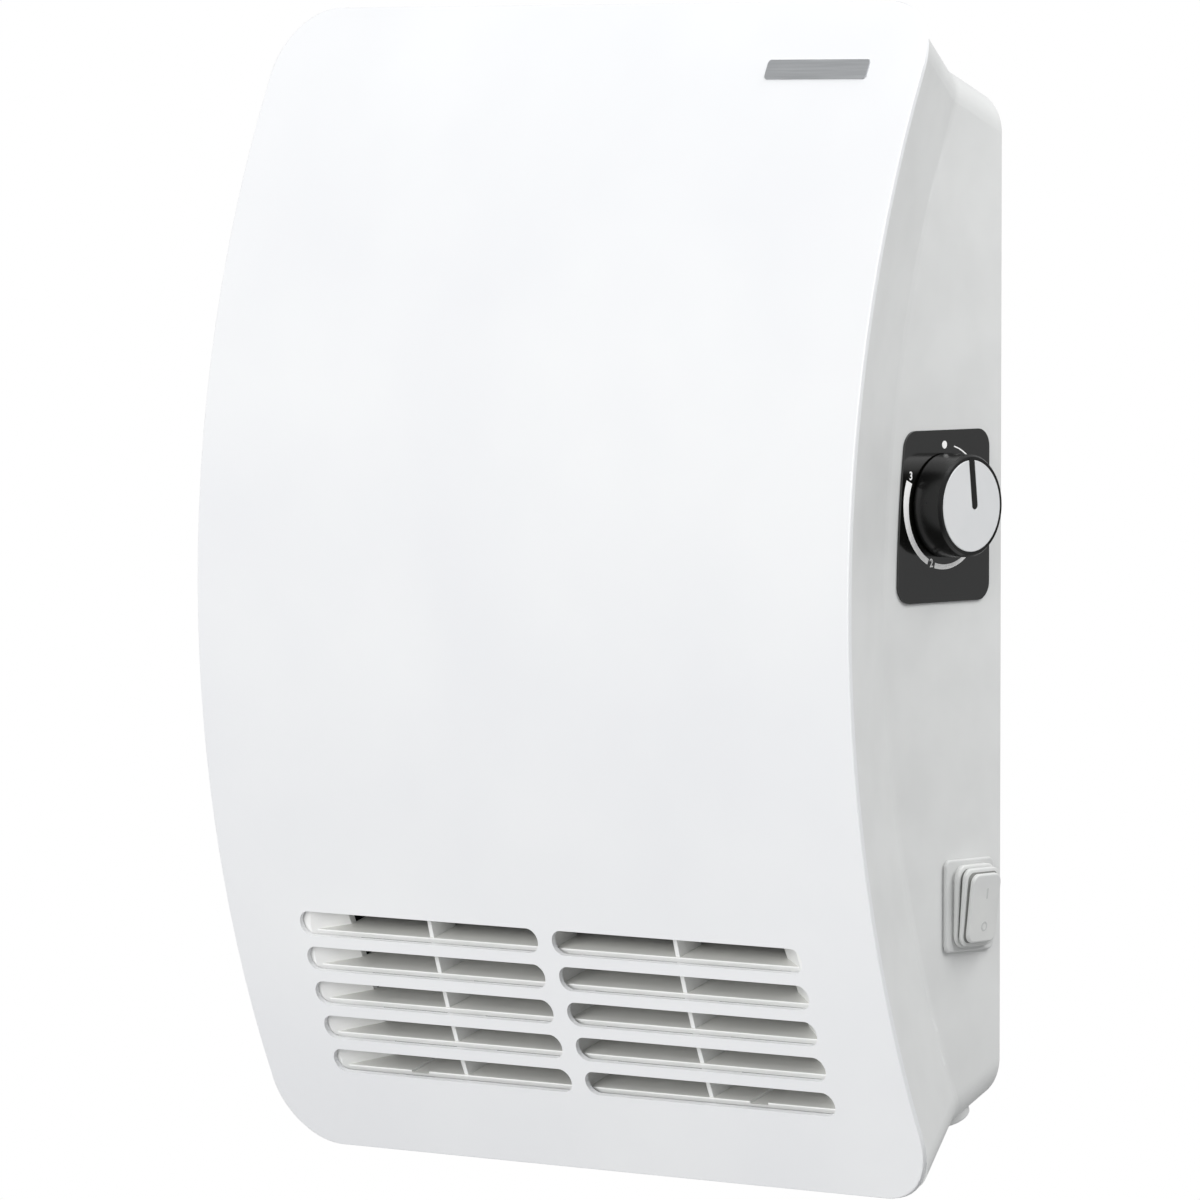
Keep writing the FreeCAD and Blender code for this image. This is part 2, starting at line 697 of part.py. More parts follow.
def pivot_rod(half_length, radius):
    """Bar along the rocker's pivot axis."""
    return rod(V(rocker_pivot_x, switch_y - half_length, switch_z),
               V(rocker_pivot_x, switch_y + half_length, switch_z), radius)


def at_switch(y, z):
    return switch_y + y, switch_z + z


def make_switch_frame():
    lip_x = side_x + bezel_foot_height
    foot = slab_x(bezel_size_y - 2 * bezel_foot_inset, bezel_size_z - 2 * bezel_foot_inset, 2.5,
                  side_x, lip_x, switch_y, switch_z)
    bezel = slab_x(bezel_size_y, bezel_size_z, 3.0, lip_x, bezel_face_x, switch_y, switch_z)
    front = [e for e in bezel.Edges if abs(e.BoundBox.XMin - bezel_face_x) < 1e-6
             and e.BoundBox.XLength < 1e-6]
    bezel = bezel.makeFillet(0.9, front)
    case = slab_x(21.8, 29.8, 1.0, switch_back_x, side_x, switch_y, switch_z)
    cheeks = [box(side_x, switch_y + s * well_half_y, switch_z - 4, rocker_pivot_x + 1.7,
                  switch_y + s * cheek_half_y, switch_z + 4) for s in (-1, 1)]
    well = box(switch_back_x + 10, switch_y - well_half_y, switch_z - 13.4,
               bezel_face_x + 3, switch_y + well_half_y, switch_z + 13.4)
    bore = pivot_rod(cheek_half_y + 0.1, pivot_r + running_clearance)
    return fused([foot, bezel, case] + cheeks).cut([well, bore]).removeSplitter()


def rocker_turned(shape, degrees=rocker_tilt):
    """Turn a level rocker piece about its pivot; positive brings the top out."""
    copy = shape.copy()
    copy.rotate(V(rocker_pivot_x, switch_y, switch_z), Y_AXIS, degrees)
    return copy


cap_thickness = 1.5
cap_round = 0.9
cap_corner_r = 3.8


def make_rocker():
    """Hard lever inside the rubber boot, with its pivot pins."""
    face_x = rocker_pivot_x + rocker_face_distance - cap_thickness
    half_z = rocker_size_z / 2 - 2.1
    outline = [(face_x, -half_z), (face_x, half_z), (face_x - 1.8, half_z),
               (rocker_pivot_x - 3.5, 4.0), (rocker_pivot_x - 7.5, 1.5),
               (rocker_pivot_x - 7.5, -1.5), (rocker_pivot_x - 3.5, -4.0),
               (face_x - 1.8, -half_z)]
    corners = [V(x, switch_y - 6.2, switch_z + z) for x, z in outline]
    lever = Part.Face(Part.makePolygon(corners + corners[:1])).extrude(V(0, 12.4, 0))
    return rocker_turned(lever.fuse(pivot_rod(cheek_half_y, pivot_r)).removeSplitter())


def make_rocker_cover():
    """Moulded face of the boot, which the finger presses."""
    face_x = rocker_pivot_x + rocker_face_distance
    cover = slab_x(rocker_size_y, rocker_size_z, cap_corner_r, face_x - cap_thickness, face_x,
                   switch_y, switch_z)
    front = [e for e in cover.Edges if abs(e.BoundBox.XMin - face_x) < 1e-6
             and e.BoundBox.XLength < 1e-6]
    return rocker_turned(cover.makeFillet(cap_round, front))


def boot_outline(size_y, size_z, radius, x, z):
    wire = rounded_rectangle(size_z, size_y, radius)
    wire.rotate(V(0, 0, 0), Y_AXIS, 90)
    wire.translate(V(x, switch_y, z))
    return wire


def make_switch_boot():
    """Soft pleated skirt between the bezel and the rocker's face."""
    cap_back_x = rocker_pivot_x + rocker_face_distance - cap_thickness
    rubber = 1.0
    skins = []
    for inset, foot_round, top_round in ((0.0, 4.5, 4.0), (rubber, 3.5, 3.0)):
        foot = boot_outline(boot_size_y - 2 * inset, boot_size_z - 2 * inset, foot_round,
                            bezel_face_x, switch_z)
        top = boot_outline(rocker_size_y + 0.8 - 2 * inset, rocker_size_z + 0.8 - 2 * inset, top_round,
                           cap_back_x, switch_z)
        skins.append(Part.makeLoft([foot, rocker_turned(top)], True, True))
    return skins[0].cut(skins[1])


def make_switch_terminals():
    tabs = []
    for y in (-5.5, 5.5):
        for z in (-8.0, 8.0):
            cy, cz = at_switch(y, z)
            tabs.append(box(switch_back_x - 8, cy - 0.4, cz - 3.15, switch_back_x, cy + 0.4, cz + 3.15))
    return tabs


# ---------------------------------------------------------------- wall bracket and cable inlet
wall_hole_spacing_x = 190.0
wall_hole_spacing_z = 50.0
wall_hole_r = 3.0
bracket_thickness = 1.5
bracket_centre_z = (recess_low_z + recess_high_z) / 2


def make_wall_bracket():
    plate = box(-recess_half_width + 1, -bracket_thickness, recess_low_z + 1,
                recess_half_width - 1, 0, recess_high_z - 1)
    window = slab_y(120, 44, 6, -3, 1, 0, bracket_centre_z)
    hooks = []
    cuts = [window]
    lip_y = -housing_wall - recess_depth - 1.2
    for side in (-1, 1):
        x0 = side * hook_x - hook_width / 2
        x1 = side * hook_x + hook_width / 2
        hooks.append(box(x0, lip_y - bracket_thickness, hook_rest_z - bracket_thickness,
                         x1, 0, hook_rest_z))
        hooks.append(box(x0, lip_y - bracket_thickness, hook_rest_z - bracket_thickness,
                         x1, lip_y, hook_rest_z + 9))
        for z in (-1, 1):
            centre = V(side * wall_hole_spacing_x / 2, 1, bracket_centre_z + z * wall_hole_spacing_z / 2)
            cuts.append(rod(centre, centre + V(0, -6, 0), wall_hole_r))
    return fused([plate] + hooks).cut(cuts)


def gland_axis(x0, x1, radius):
    return rod(V(x0, gland_y, gland_z), V(x1, gland_y, gland_z), radius)


gland_outer_x = -side_x - 15.0
gland_bore_r = 4.5


def hexagon_x(x0, x1, radius, y, z):
    corners = [(y + radius * math.cos(math.radians(60 * i)), z + radius * math.sin(math.radians(60 * i)))
               for i in range(6)]
    return prism_x(corners, x0, x1)


def make_cable_gland():
    flange = hexagon_x(-side_x - 4.0, -side_x, 11.5, gland_y, gland_z)
    thread = gland_axis(-side_x - 1, -side_inner_x + 6.5, gland_thread_r)
    collar = gland_axis(-side_x - 6.5, -side_x - 3.5, gland_thread_r - 0.3)
    bore = gland_axis(-side_x - 10, -side_inner_x + 10, gland_bore_r)
    return fused([flange, thread, collar]).cut(bore)


def make_gland_cap():
    """Domed clamping nut of the cable gland."""
    cap = hexagon_x(-side_x - 11.0, -side_x - 4.6, 10.8, gland_y, gland_z)
    dome = gland_axis(gland_outer_x, -side_x - 10.5, 8.8)
    rim = [e for e in dome.Edges if abs(e.BoundBox.XMin - gland_outer_x) < 1e-6
           and e.BoundBox.XLength < 1e-6]
    dome = dome.makeFillet(2.5, rim)
    pocket = gland_axis(-side_x - 6.5, -side_x - 4, gland_thread_r - 0.3)
    return fused([cap, dome]).cut([pocket, gland_axis(gland_outer_x - 1, -side_x, gland_bore_r)])


def make_gland_locknut():
    nut = hexagon_x(-side_inner_x, -side_inner_x + 4.5, 11.0, gland_y, gland_z)
    return nut.cut(gland_axis(-side_x, -side_inner_x + 8, gland_thread_r))


block_x0 = -129.0
block_x1 = -106.0
block_z = -140.0


def make_terminal_block():
    body = box(block_x0, -housing_wall - 14, block_z - 9, block_x1, -housing_wall, block_z + 9)
    cuts = []
    for i in range(3):
        x = block_x0 + 4.5 + i * 7
        for z in (block_z - 4.5, block_z + 4.5):
            cuts.append(rod(V(x, -housing_wall - 15, z), V(x, -9.0, z), 1.9))
        cuts.append(rod(V(x, -9.5, block_z - 10), V(x, -9.5, block_z + 10), 1.5))
    return body.cut(cuts)


def make_terminal_screws():
    screws = []
    for i in range(3):
        x = block_x0 + 4.5 + i * 7
        for z in (-4.5, 4.5):
            screw = rod(V(x, -15.2, block_z + z), V(x, -11.2, block_z + z), 1.9)
            slot = box(x - 2, -16, block_z + z - 0.3, x + 2, -14.4, block_z + z + 0.3)
            screws.append(screw.cut(slot))
    return screws


# ---------------------------------------------------------------- fan and its frame
def fan_axis(x0, x1, radius):
    return rod(V(x0, fan_axis_y, fan_axis_z), V(x1, fan_axis_y, fan_axis_z), radius)


scroll_centre_y = -60.0
scroll_centre_z = -98.0
scroll_r = 48.0
scroll_top_angle = 35.0
scroll_bottom_angle = -25.0
scroll_foot_z = -196.0
tongue_tip = (-80.6, -107.4)
tongue_foot = (-87.0, -129.5)
tongue_lip = (-92.0, -99.0)


def scroll_point(angle, radius):
    a = math.radians(angle)
    return scroll_centre_y + radius * math.cos(a), scroll_centre_z + radius * math.sin(a)


def make_fan_scroll():
    """Curved back wall that wraps the fan and runs down to the outlet."""
    x0 = end_plate_left_x + sheet
    x1 = end_plate_right_x
    inner = scroll_r - sheet
    down = math.radians(scroll_bottom_angle)
    run_y, run_z = math.sin(down), -math.cos(down)
    edges = []
    ends = []
    for radius in (inner, scroll_r):
        top = scroll_point(scroll_top_angle, radius)
        middle = scroll_point((scroll_top_angle + scroll_bottom_angle) / 2, radius)
        bottom = scroll_point(scroll_bottom_angle, radius)
        share = (scroll_foot_z - bottom[1]) / run_z
        foot = (bottom[0] + run_y * share, scroll_foot_z)
        points = [V(x0, y, z) for y, z in (top, middle, bottom, foot)]
        edges.append(Part.Arc(points[0], points[1], points[2]).toShape())
        edges.append(Part.LineSegment(points[2], points[3]).toShape())
        ends.append((points[0], points[3]))
    edges.append(Part.LineSegment(ends[0][0], ends[1][0]).toShape())
    edges.append(Part.LineSegment(ends[0][1], ends[1][1]).toShape())
    wall = Part.Face(Part.Wire(Part.__sortEdges__(edges))).extrude(V(x1 - x0, 0, 0))

    top_inner = scroll_point(scroll_top_angle, inner)
    top_outer = scroll_point(scroll_top_angle, scroll_r)
    flange_top = scroll_post_z + 6
    flange_y = scroll_post_end_y - sheet
    flange = box(x0, flange_y, top_outer[1] + 5.0, x1, scroll_post_end_y, flange_top)
    web = prism_x([top_inner, (flange_y, top_outer[1] + 5.0), (scroll_post_end_y, top_outer[1] + 5.0),
                   top_outer], x0, x1)
    holes = [rod(V(s * scroll_post_x, -20, scroll_post_z), V(s * scroll_post_x, -8, scroll_post_z), 1.7)
             for s in (-1, 1)]
    return fused([wall, flange, web]).cut(holes)


def make_fan_tongue():
    """Front cut-off plate between the fan's intake and its outlet."""
    x0 = end_plate_left_x + sheet
    x1 = end_plate_right_x
    t = sheet
    outline = [tongue_foot, tongue_tip, tongue_lip, (tongue_lip[0] - 0.6, tongue_lip[1] - 1.1),
               (tongue_tip[0] - t * 1.3, tongue_tip[1] - 0.2), (tongue_foot[0] - t, tongue_foot[1])]
    return prism_x(outline, x0, x1)


def end_plate_outline():
    return [(-9.5, -66.0), (-9.5, -146.0), (-50.0, scroll_foot_z), (-57.0, scroll_foot_z),
            (-69.0, -163.0), (-78.5, -134.0), (-89.0, -129.0), (-97.0, -112.0), (-97.0, -66.0)]


def end_plate(x0, hole_r, foot_side):
    plate = prism_x(end_plate_outline(), x0, x0 + sheet)
    shaft_hole = fan_axis(x0 - 1, x0 + sheet + 1, hole_r)
    foot_x = x0 if foot_side < 0 else x0 + sheet
    tip_x = foot_x + foot_side * 12
    web = box(x0, foot_y - sheet, foot_z - 6, x0 + sheet, -20, foot_z + 6)
    web = web.fuse(prism_x([(-9.5, -146), (foot_y - sheet, foot_z + 6), (-30, foot_z + 6)], x0, x0 + sheet))
    foot = box(x0 if foot_side > 0 else tip_x, foot_y - sheet, foot_z - 6,
               tip_x if foot_side > 0 else x0 + sheet, foot_y, foot_z + 6)
    hole = rod(V(foot_x + foot_side * 7, -12, foot_z), V(foot_x + foot_side * 7, 0, foot_z), 1.7)
    return fused([plate, web, foot]).cut([shaft_hole, hole])


def make_fan_end_plate_left():
    plate = end_plate(end_plate_left_x, 9.0, -1)
    holes = [rod(V(end_plate_left_x - 1, y, fan_axis_z), V(end_plate_left_x + 3, y, fan_axis_z),
                 motor_bolt_r + 0.2) for y in motor_bolt_ys]
    return plate.cut(holes)


end_bush_r = 4.0
rubber_r = 9.0


def make_fan_end_plate_right():
    plate = end_plate(end_plate_right_x, rubber_r - 1.0, 1)
    x = end_plate_right_x
    holes = [leaned(rod(V(x - 1, heater_y + y, heater_z), V(x + 3, heater_y + y, heater_z), insulator_r))
             for y in (element_passes[0], element_passes[-1])]
    return plate.cut(holes)


def make_bearing_mount():
    """Rubber ring that holds the far bearing in the right end plate."""
    ring = fan_axis(end_plate_right_x - 1.5, end_plate_right_x + sheet + 1.5, rubber_r)
    groove = fan_axis(end_plate_right_x, end_plate_right_x + sheet, rubber_r + 1)
    groove = groove.cut(fan_axis(end_plate_right_x - 1, end_plate_right_x + sheet + 1, rubber_r - 1.0))
    bore = fan_axis(end_plate_right_x - 3, end_plate_right_x + 6, end_bush_r)
    return ring.cut([groove, bore])


def bush(x0, x1, outer):
    return fan_axis(x0, x1, outer).cut(fan_axis(x0 - 1, x1 + 1, fan_shaft_r + running_clearance))


def make_far_bearing():
    return bush(end_plate_right_x - 2.0, end_plate_right_x + sheet + 2.0, end_bush_r)


blade_inner_r = 25.5
blade_thickness = 0.8
hub_r = 5.0


def blade_section(x0):
    """One forward-curved blade at the top of the wheel."""
    lean = 5.5
    inner = V(x0, fan_axis_y - lean / 2, fan_axis_z + blade_inner_r)
    outer_z = math.sqrt((fan_wheel_r - 0.3) ** 2 - (lean / 2) ** 2)
    outer = V(x0, fan_axis_y + lean / 2, fan_axis_z + outer_z)
    chord = outer - inner
    across = V(0, chord.z, -chord.y)
    across.normalize()
    middle = (inner + outer) * 0.5
    bulge = 1.5
    front = Part.Arc(inner, middle + across * (bulge + blade_thickness / 2), outer).toShape()
    back = Part.Arc(outer, middle + across * (bulge - blade_thickness / 2), inner).toShape()
    return Part.Face(Part.Wire([front, back]))


def make_fan_wheel():
    discs = []
    stations = 5
    span = fan_wheel_right_x - fan_wheel_left_x - 1.4
    for i in range(stations):
        x = fan_wheel_left_x + span * i / (stations - 1)
        disc = fan_axis(x, x + 1.4, fan_wheel_r)
        if 0 < i < stations - 1:
            disc = disc.cut(fan_axis(x - 1, x + 3, blade_inner_r - 2.0))
        discs.append(disc)
    discs.append(fan_axis(fan_wheel_left_x, fan_wheel_left_x + 12, hub_r))
    discs.append(fan_axis(fan_wheel_right_x - 12, fan_wheel_right_x, hub_r))
    section = blade_section(fan_wheel_left_x + 0.4)
    blade = section.extrude(V(fan_wheel_right_x - fan_wheel_left_x - 0.8, 0, 0))
    blades = [turned_x(blade, 360.0 * i / fan_blades, fan_axis_y, fan_axis_z) for i in range(fan_blades)]
    wheel = discs[0].fuse(discs[1:] + blades)
    bores = [fan_axis(fan_wheel_left_x - 1, fan_wheel_left_x + 10, fan_shaft_r),
             fan_axis(fan_wheel_right_x - 10, fan_wheel_right_x + 1, fan_shaft_r)]
    return wheel.cut(bores)


def make_motor_shaft():
    return fan_axis(-139.5, fan_wheel_left_x + 10, fan_shaft_r)


def make_stub_shaft():
    return fan_axis(fan_wheel_right_x - 10, end_plate_right_x + 5.5, fan_shaft_r)


stack_x0 = -129.0
stack_x1 = -111.0
rotor_r = 12.0
air_gap = 0.4
leg_y0 = -72.0
leg_y1 = -24.0
core_low_z = -112.0
core_top_z = -36.0
window_low_z = -70.0
coil_bar_low_z = -50.0


def make_motor_rotor():
    rotor = fan_axis(stack_x0 - 1, stack_x1 + 1, rotor_r)
    rings = [fan_axis(stack_x0 - 3, stack_x0 - 1, rotor_r - 0.8),
             fan_axis(stack_x1 + 1, stack_x1 + 3, rotor_r - 0.8)]
    return fused([rotor] + rings).cut(fan_axis(stack_x0 - 5, stack_x1 + 5, fan_shaft_r))


motor_bolt_ys = (leg_y0 + 6.0, leg_y1 - 6.0)
motor_bolt_r = 2.0


def make_motor_core():
    """Laminated frame with the rotor bore below and the coil bar above."""
    core = box(stack_x0, leg_y0, core_low_z, stack_x1, leg_y1, core_top_z)
    window = box(stack_x0 - 1, leg_y0 + 12, window_low_z, stack_x1 + 1, leg_y1 - 12, coil_bar_low_z)
    bore = fan_axis(stack_x0 - 1, stack_x1 + 1, rotor_r + air_gap)
    cuts = [window, bore]
    for y in motor_bolt_ys:
        cuts.append(rod(V(stack_x0 - 1, y, fan_axis_z), V(stack_x1 + 1, y, fan_axis_z), motor_bolt_r + 0.2))
    for s in (-1, 1):
        slit_y = fan_axis_y + s * (rotor_r - 1.5)
        cuts.append(box(stack_x0 - 1, slit_y - 1, fan_axis_z - 8, stack_x1 + 1, slit_y + 1, fan_axis_z - 16))
    return core.cut(cuts)


def make_motor_coil():
    bar_y0 = fan_axis_y - 11
    bar_y1 = fan_axis_y + 11
    winding = box(stack_x0 - 8.5, bar_y0 + 1.5, coil_bar_low_z - 9, stack_x1 + 8.5, bar_y1 - 1.5,
                  core_top_z + 9)
    along_x = [e for e in winding.Edges if e.BoundBox.YLength > 15]
    winding = winding.makeFillet(4.0, along_x)
    cheeks = [box(stack_x0 - 8.5, y, coil_bar_low_z - 9, stack_x1 + 8.5, y + 1.5, core_top_z + 9)
              for y in (bar_y0, bar_y1 - 1.5)]
    passage = box(stack_x0, bar_y0 - 1, coil_bar_low_z, stack_x1, bar_y1 + 1, core_top_z)
    return fused([winding] + cheeks).cut(passage)


def motor_bracket(stack_x, direction):
    """Bearing bridge across the stack: direction is -1 outside, +1 towards the fan."""
    gap = 4.6
    face_x = stack_x + direction * gap
    half = 9.0
    strip = box(face_x, leg_y0 + 1, fan_axis_z - half, face_x + direction * 1.5, leg_y1 - 1,
                fan_axis_z + half)
    legs = [box(stack_x, y0, fan_axis_z - half, face_x, y1, fan_axis_z + half)
            for y0, y1 in ((leg_y0 + 1, leg_y0 + 10), (leg_y1 - 10, leg_y1 - 1))]
    cuts = [fan_axis(face_x - 3, face_x + 3, 5.0)]
    for y in motor_bolt_ys:
        cuts.append(rod(V(stack_x - direction, y, fan_axis_z),
                        V(face_x + direction * 4, y, fan_axis_z), motor_bolt_r + 0.2))
    return fused([strip] + legs).cut(cuts)


def make_motor_brackets():
    return [motor_bracket(stack_x0, -1), motor_bracket(stack_x1, 1)]


def make_motor_bearings():
    return [bush(stack_x0 - 7.0, stack_x0 - 3.4, 5.0), bush(stack_x1 + 3.4, stack_x1 + 7.0, 5.0)]


def make_motor_bolts():
    """Two long bolts that clamp the brackets and hang the motor on the end plate."""
    bolts = []
    for y in motor_bolt_ys:
        start = stack_x0 - 6.1
        shank = rod(V(start, y, fan_axis_z), V(end_plate_left_x + sheet, y, fan_axis_z), motor_bolt_r)
        head = hexagon_x(start - 2.8, start, 4.0, y, fan_axis_z)
        bolts.append(fused([shank, head]))
    return bolts


def make_motor_spacers():
    """Rubber spacers between the motor and the end plate."""
    return [pipe(V(stack_x1 + 6.1, y, fan_axis_z), V(end_plate_left_x, y, fan_axis_z), 5.0,
                 motor_bolt_r) for y in motor_bolt_ys]


def make_bolt_nuts():
    nuts = []
    for y in motor_bolt_ys:
        nut = hexagon_x(end_plate_left_x + sheet, end_plate_left_x + sheet + 3.2, 4.0, y, fan_axis_z)
        nuts.append(nut.cut(rod(V(-110, y, fan_axis_z), V(-90, y, fan_axis_z), motor_bolt_r)))
    return nuts


def make_shaft_coupling():
    """Rubber sleeve that joins the motor shaft to the wheel's hub."""
    return fan_axis(end_plate_left_x + 1.5, fan_wheel_left_x, 6.5).cut(
        fan_axis(end_plate_left_x, fan_wheel_left_x + 1, fan_shaft_r))


# ---------------------------------------------------------------- heater
heater_y = -54.5
heater_z = -139.5
heater_lean = -18.0
element_r = 3.25
insulator_r = 5.0
element_passes = (-15.0, -5.0, 5.0, 15.0)
element_left_x = -88.0
element_right_x = 94.0
frame_half_depth = 22.5
frame_half_height = 7.0


def leaned(shape):
    return turned_x(shape, heater_lean, heater_y, heater_z)


def heater_box(x0, y0, z0, x1, y1, z1):
    return box(x0, heater_y + y0, heater_z + z0, x1, heater_y + y1, heater_z + z1)


def make_heater_frame():
    x0 = end_plate_left_x + sheet + 0.4
    x1 = end_plate_right_x - 0.4
    block = heater_box(x0, -frame_half_depth, -frame_half_height, x1, frame_half_depth, frame_half_height)
    window = heater_box(x0 + sheet, -frame_half_depth + sheet, -9, x1 - sheet, frame_half_depth - sheet, 9)
    cuts = [window]
    for y in (element_passes[0], element_passes[-1]):
        cuts.append(rod(V(x1 - 5, heater_y + y, heater_z), V(x1 + 5, heater_y + y, heater_z), insulator_r))
    return leaned(block.cut(cuts))


def make_heating_element():
    """Sheathed element in four passes, bent back in the plane of the frame."""
    def at(x, y):
        return V(x, heater_y + y, heater_z)
    y0, y1, y2, y3 = element_passes
    end_x = end_plate_right_x + 12
    bend = (y1 - y0) / 2
    edges = [Part.LineSegment(at(end_x, y0), at(element_left_x, y0)).toShape(),
             Part.Arc(at(element_left_x, y0), at(element_left_x - bend, (y0 + y1) / 2),
                      at(element_left_x, y1)).toShape(),
             Part.LineSegment(at(element_left_x, y1), at(element_right_x, y1)).toShape(),
             Part.Arc(at(element_right_x, y1), at(element_right_x + bend, (y1 + y2) / 2),
                      at(element_right_x, y2)).toShape(),
             Part.LineSegment(at(element_right_x, y2), at(element_left_x, y2)).toShape(),
             Part.Arc(at(element_left_x, y2), at(element_left_x - bend, (y2 + y3) / 2),
                      at(element_left_x, y3)).toShape(),
             Part.LineSegment(at(element_left_x, y3), at(end_x, y3)).toShape()]
    profile = Part.Wire(Part.makeCircle(element_r, at(end_x, y0), X_AXIS))
    return leaned(Part.Wire(edges).makePipeShell([profile], True, False))


def make_element_fins():
    fins = []
    count = 42
    for i in range(count):
        x = element_left_x + 3 + i * (element_right_x - element_left_x - 6) / (count - 1)
        fin = heater_box(x - 0.25, -20.5, -6.2, x + 0.25, 20.5, 6.2)
        holes = [rod(V(x - 1, heater_y + y, heater_z), V(x + 1, heater_y + y, heater_z), element_r)
                 for y in element_passes]
        fins.append(leaned(fin.cut(holes)))
    return fins


def make_element_insulators():
    """Ceramic sleeves where the element's ends pass the frame."""
    sleeves = []
    for y in (element_passes[0], element_passes[-1]):
        centre = heater_y + y
        sleeve = pipe(V(end_plate_right_x - 3, centre, heater_z),
                      V(end_plate_right_x + 5, centre, heater_z), insulator_r, element_r)
        sleeves.append(leaned(sleeve))
    return sleeves


cheek_high_z = -131.0
cheek_low_z = -196.0
collar_depth = 2.5               # of the grille's throat


def duct_cheek(side, plate_x, joggle_start, joggle_end, flange_end):
    """Sheet from the grille's throat to the outer face of an end plate, with a joggle between."""
    mouth_x = throat_half_width + 0.8
    gap = 1.1
    outline = [(mouth_x, gap), (mouth_x, joggle_start), (plate_x, joggle_end), (plate_x, flange_end)]
    outer = [(x + sheet, depth) for x, depth in reversed(outline)]
    back_y = throat_y(cheek_low_z) + collar_depth
    points = [V(side * x, back_y + depth, cheek_low_z) for x, depth in outline + outer]
    section = Part.Face(Part.makePolygon(points + points[:1]))
    return section.extrude(V(0, throat_y(cheek_high_z) - throat_y(cheek_low_z), cheek_high_z - cheek_low_z))


def make_duct_cheeks():
    """Side walls that close the duct between the fan's end plates and the outlet."""
    left = duct_cheek(-1, -end_plate_left_x, 11.8, 16.5, 20.0)
    right = duct_cheek(1, end_plate_right_x + sheet, 11.2, 12.4, 14.0)
    return [left, right]


cutout_y = -86.0
cutout_z = -92.0


def make_thermal_cutout():
    x0 = end_plate_right_x + sheet
    can = rod(V(x0, cutout_y, cutout_z), V(x0 + 7, cutout_y, cutout_z), 8.0)
    cap = rod(V(x0 + 7, cutout_y, cutout_z), V(x0 + 10, cutout_y, cutout_z), 6.5)
    tabs = [box(x0 + 9, cutout_y + y - 0.4, cutout_z - 3.15, x0 + 16, cutout_y + y + 0.4, cutout_z + 3.15)
            for y in (-4.5, 4.5)]
    return fused([can, cap] + tabs)


# ---------------------------------------------------------------- wiring and fasteners
def make_wiring():
    """Insulated leads between the terminal block, switch, thermostat, cut-out, motor and element."""
    lead_r = 1.1
    first_x = block_x0 + 4.5
    tab_low_z = switch_z - 8 - 3.15
    tab_high_z = switch_z + 8 + 3.15
    tab_x = switch_back_x - 5
    stat_x = thermostat_back_x - 7
    cutout_x = end_plate_right_x + sheet + 16
    routes = [
        # terminal block to the switch, below the fan's feet
        [V(first_x + 7, -9.5, block_z - 9), V(first_x + 7, -9.5, block_z - 26), V(-92, -6, -182),
         V(-30, -6, -190), V(50, -6, -188), V(104, -7, -184), V(tab_x, -12, -168),
         V(tab_x, switch_y - 5.5, -152), V(tab_x, switch_y - 5.5, tab_low_z)],
        # terminal block to the motor coil
        [V(first_x, -9.5, block_z + 9), V(first_x, -9.5, -112), V(-134, -12, -84), V(-134, -16, -50),
         V(-131, -26, -24), V(-126, -40, -12), V(-122, -48, -16), V(-122, -48, core_top_z + 9)],
        # switch to the thermostat
        [V(tab_x, switch_y + 5.5, tab_high_z), V(tab_x, switch_y + 5.5, -92), V(124, -10, -60),
         V(122, -11, -20),
         V(108, -16, 4), V(98, -22, 16), V(99, control_y + 9, control_z - 11.6),
         V(stat_x, control_y + 9, control_z - 11.6)],
        # thermostat to the thermal cut-out
        [V(stat_x, control_y - 9, control_z - 11.6), V(99, control_y - 9, control_z - 11.6),
         V(98, -50, 8), V(110, -58, -22), V(126, -66, -48), V(136, -76, -70),
         V(135, cutout_y + 4.5, cutout_z), V(cutout_x, cutout_y + 4.5, cutout_z)],
    ]
    return [wire_run(route, lead_r) for route in routes]


def make_panel_screws():
    screws = []
    for side in (-1, 1):
        base, inward = bottom_face_point(side * panel_screw_x, panel_screw_y, 0)
        head = base - inward * (boss_height - screw_head_seat)
        screws.append(pan_screw(head, inward, 1.6, housing_wall + 7.5, 3.4, 2.0))
    return screws


def make_grille_screws():
    return [pan_screw(V(side * grille_post_x, end_y - 2.5, z), Y_AXIS, screw_hole_r, 12, 3.0, 2.0)
            for side in (-1, 1) for z, end_y in grille_posts]


def make_fan_screws():
    """Screws through the scroll's flange and the end plates' feet."""
    screws = [pan_screw(V(side * scroll_post_x, scroll_post_end_y - sheet, scroll_post_z), Y_AXIS,
                        screw_hole_r, 8, 3.0, 2.0) for side in (-1, 1)]
    for x in (end_plate_left_x - 7, end_plate_right_x + sheet + 7):
        screws.append(pan_screw(V(x, foot_y - sheet, foot_z), Y_AXIS, screw_hole_r, 6, 3.0, 2.0))
    return screws


badge_x = 116.5
badge_z = 204.0


def make_badge_plate():
    """Plain unmarked plate on the panel's upper corner, bent to the panel."""
    outline = slab_y(50, 7.5, 1.5, -140, -40, badge_x, badge_z)
    return outline.common(drum(panel_outer_r + 0.5)).cut(drum(panel_outer_r)).Solids[0]


def group(solids):
    return Part.makeCompound(solids)


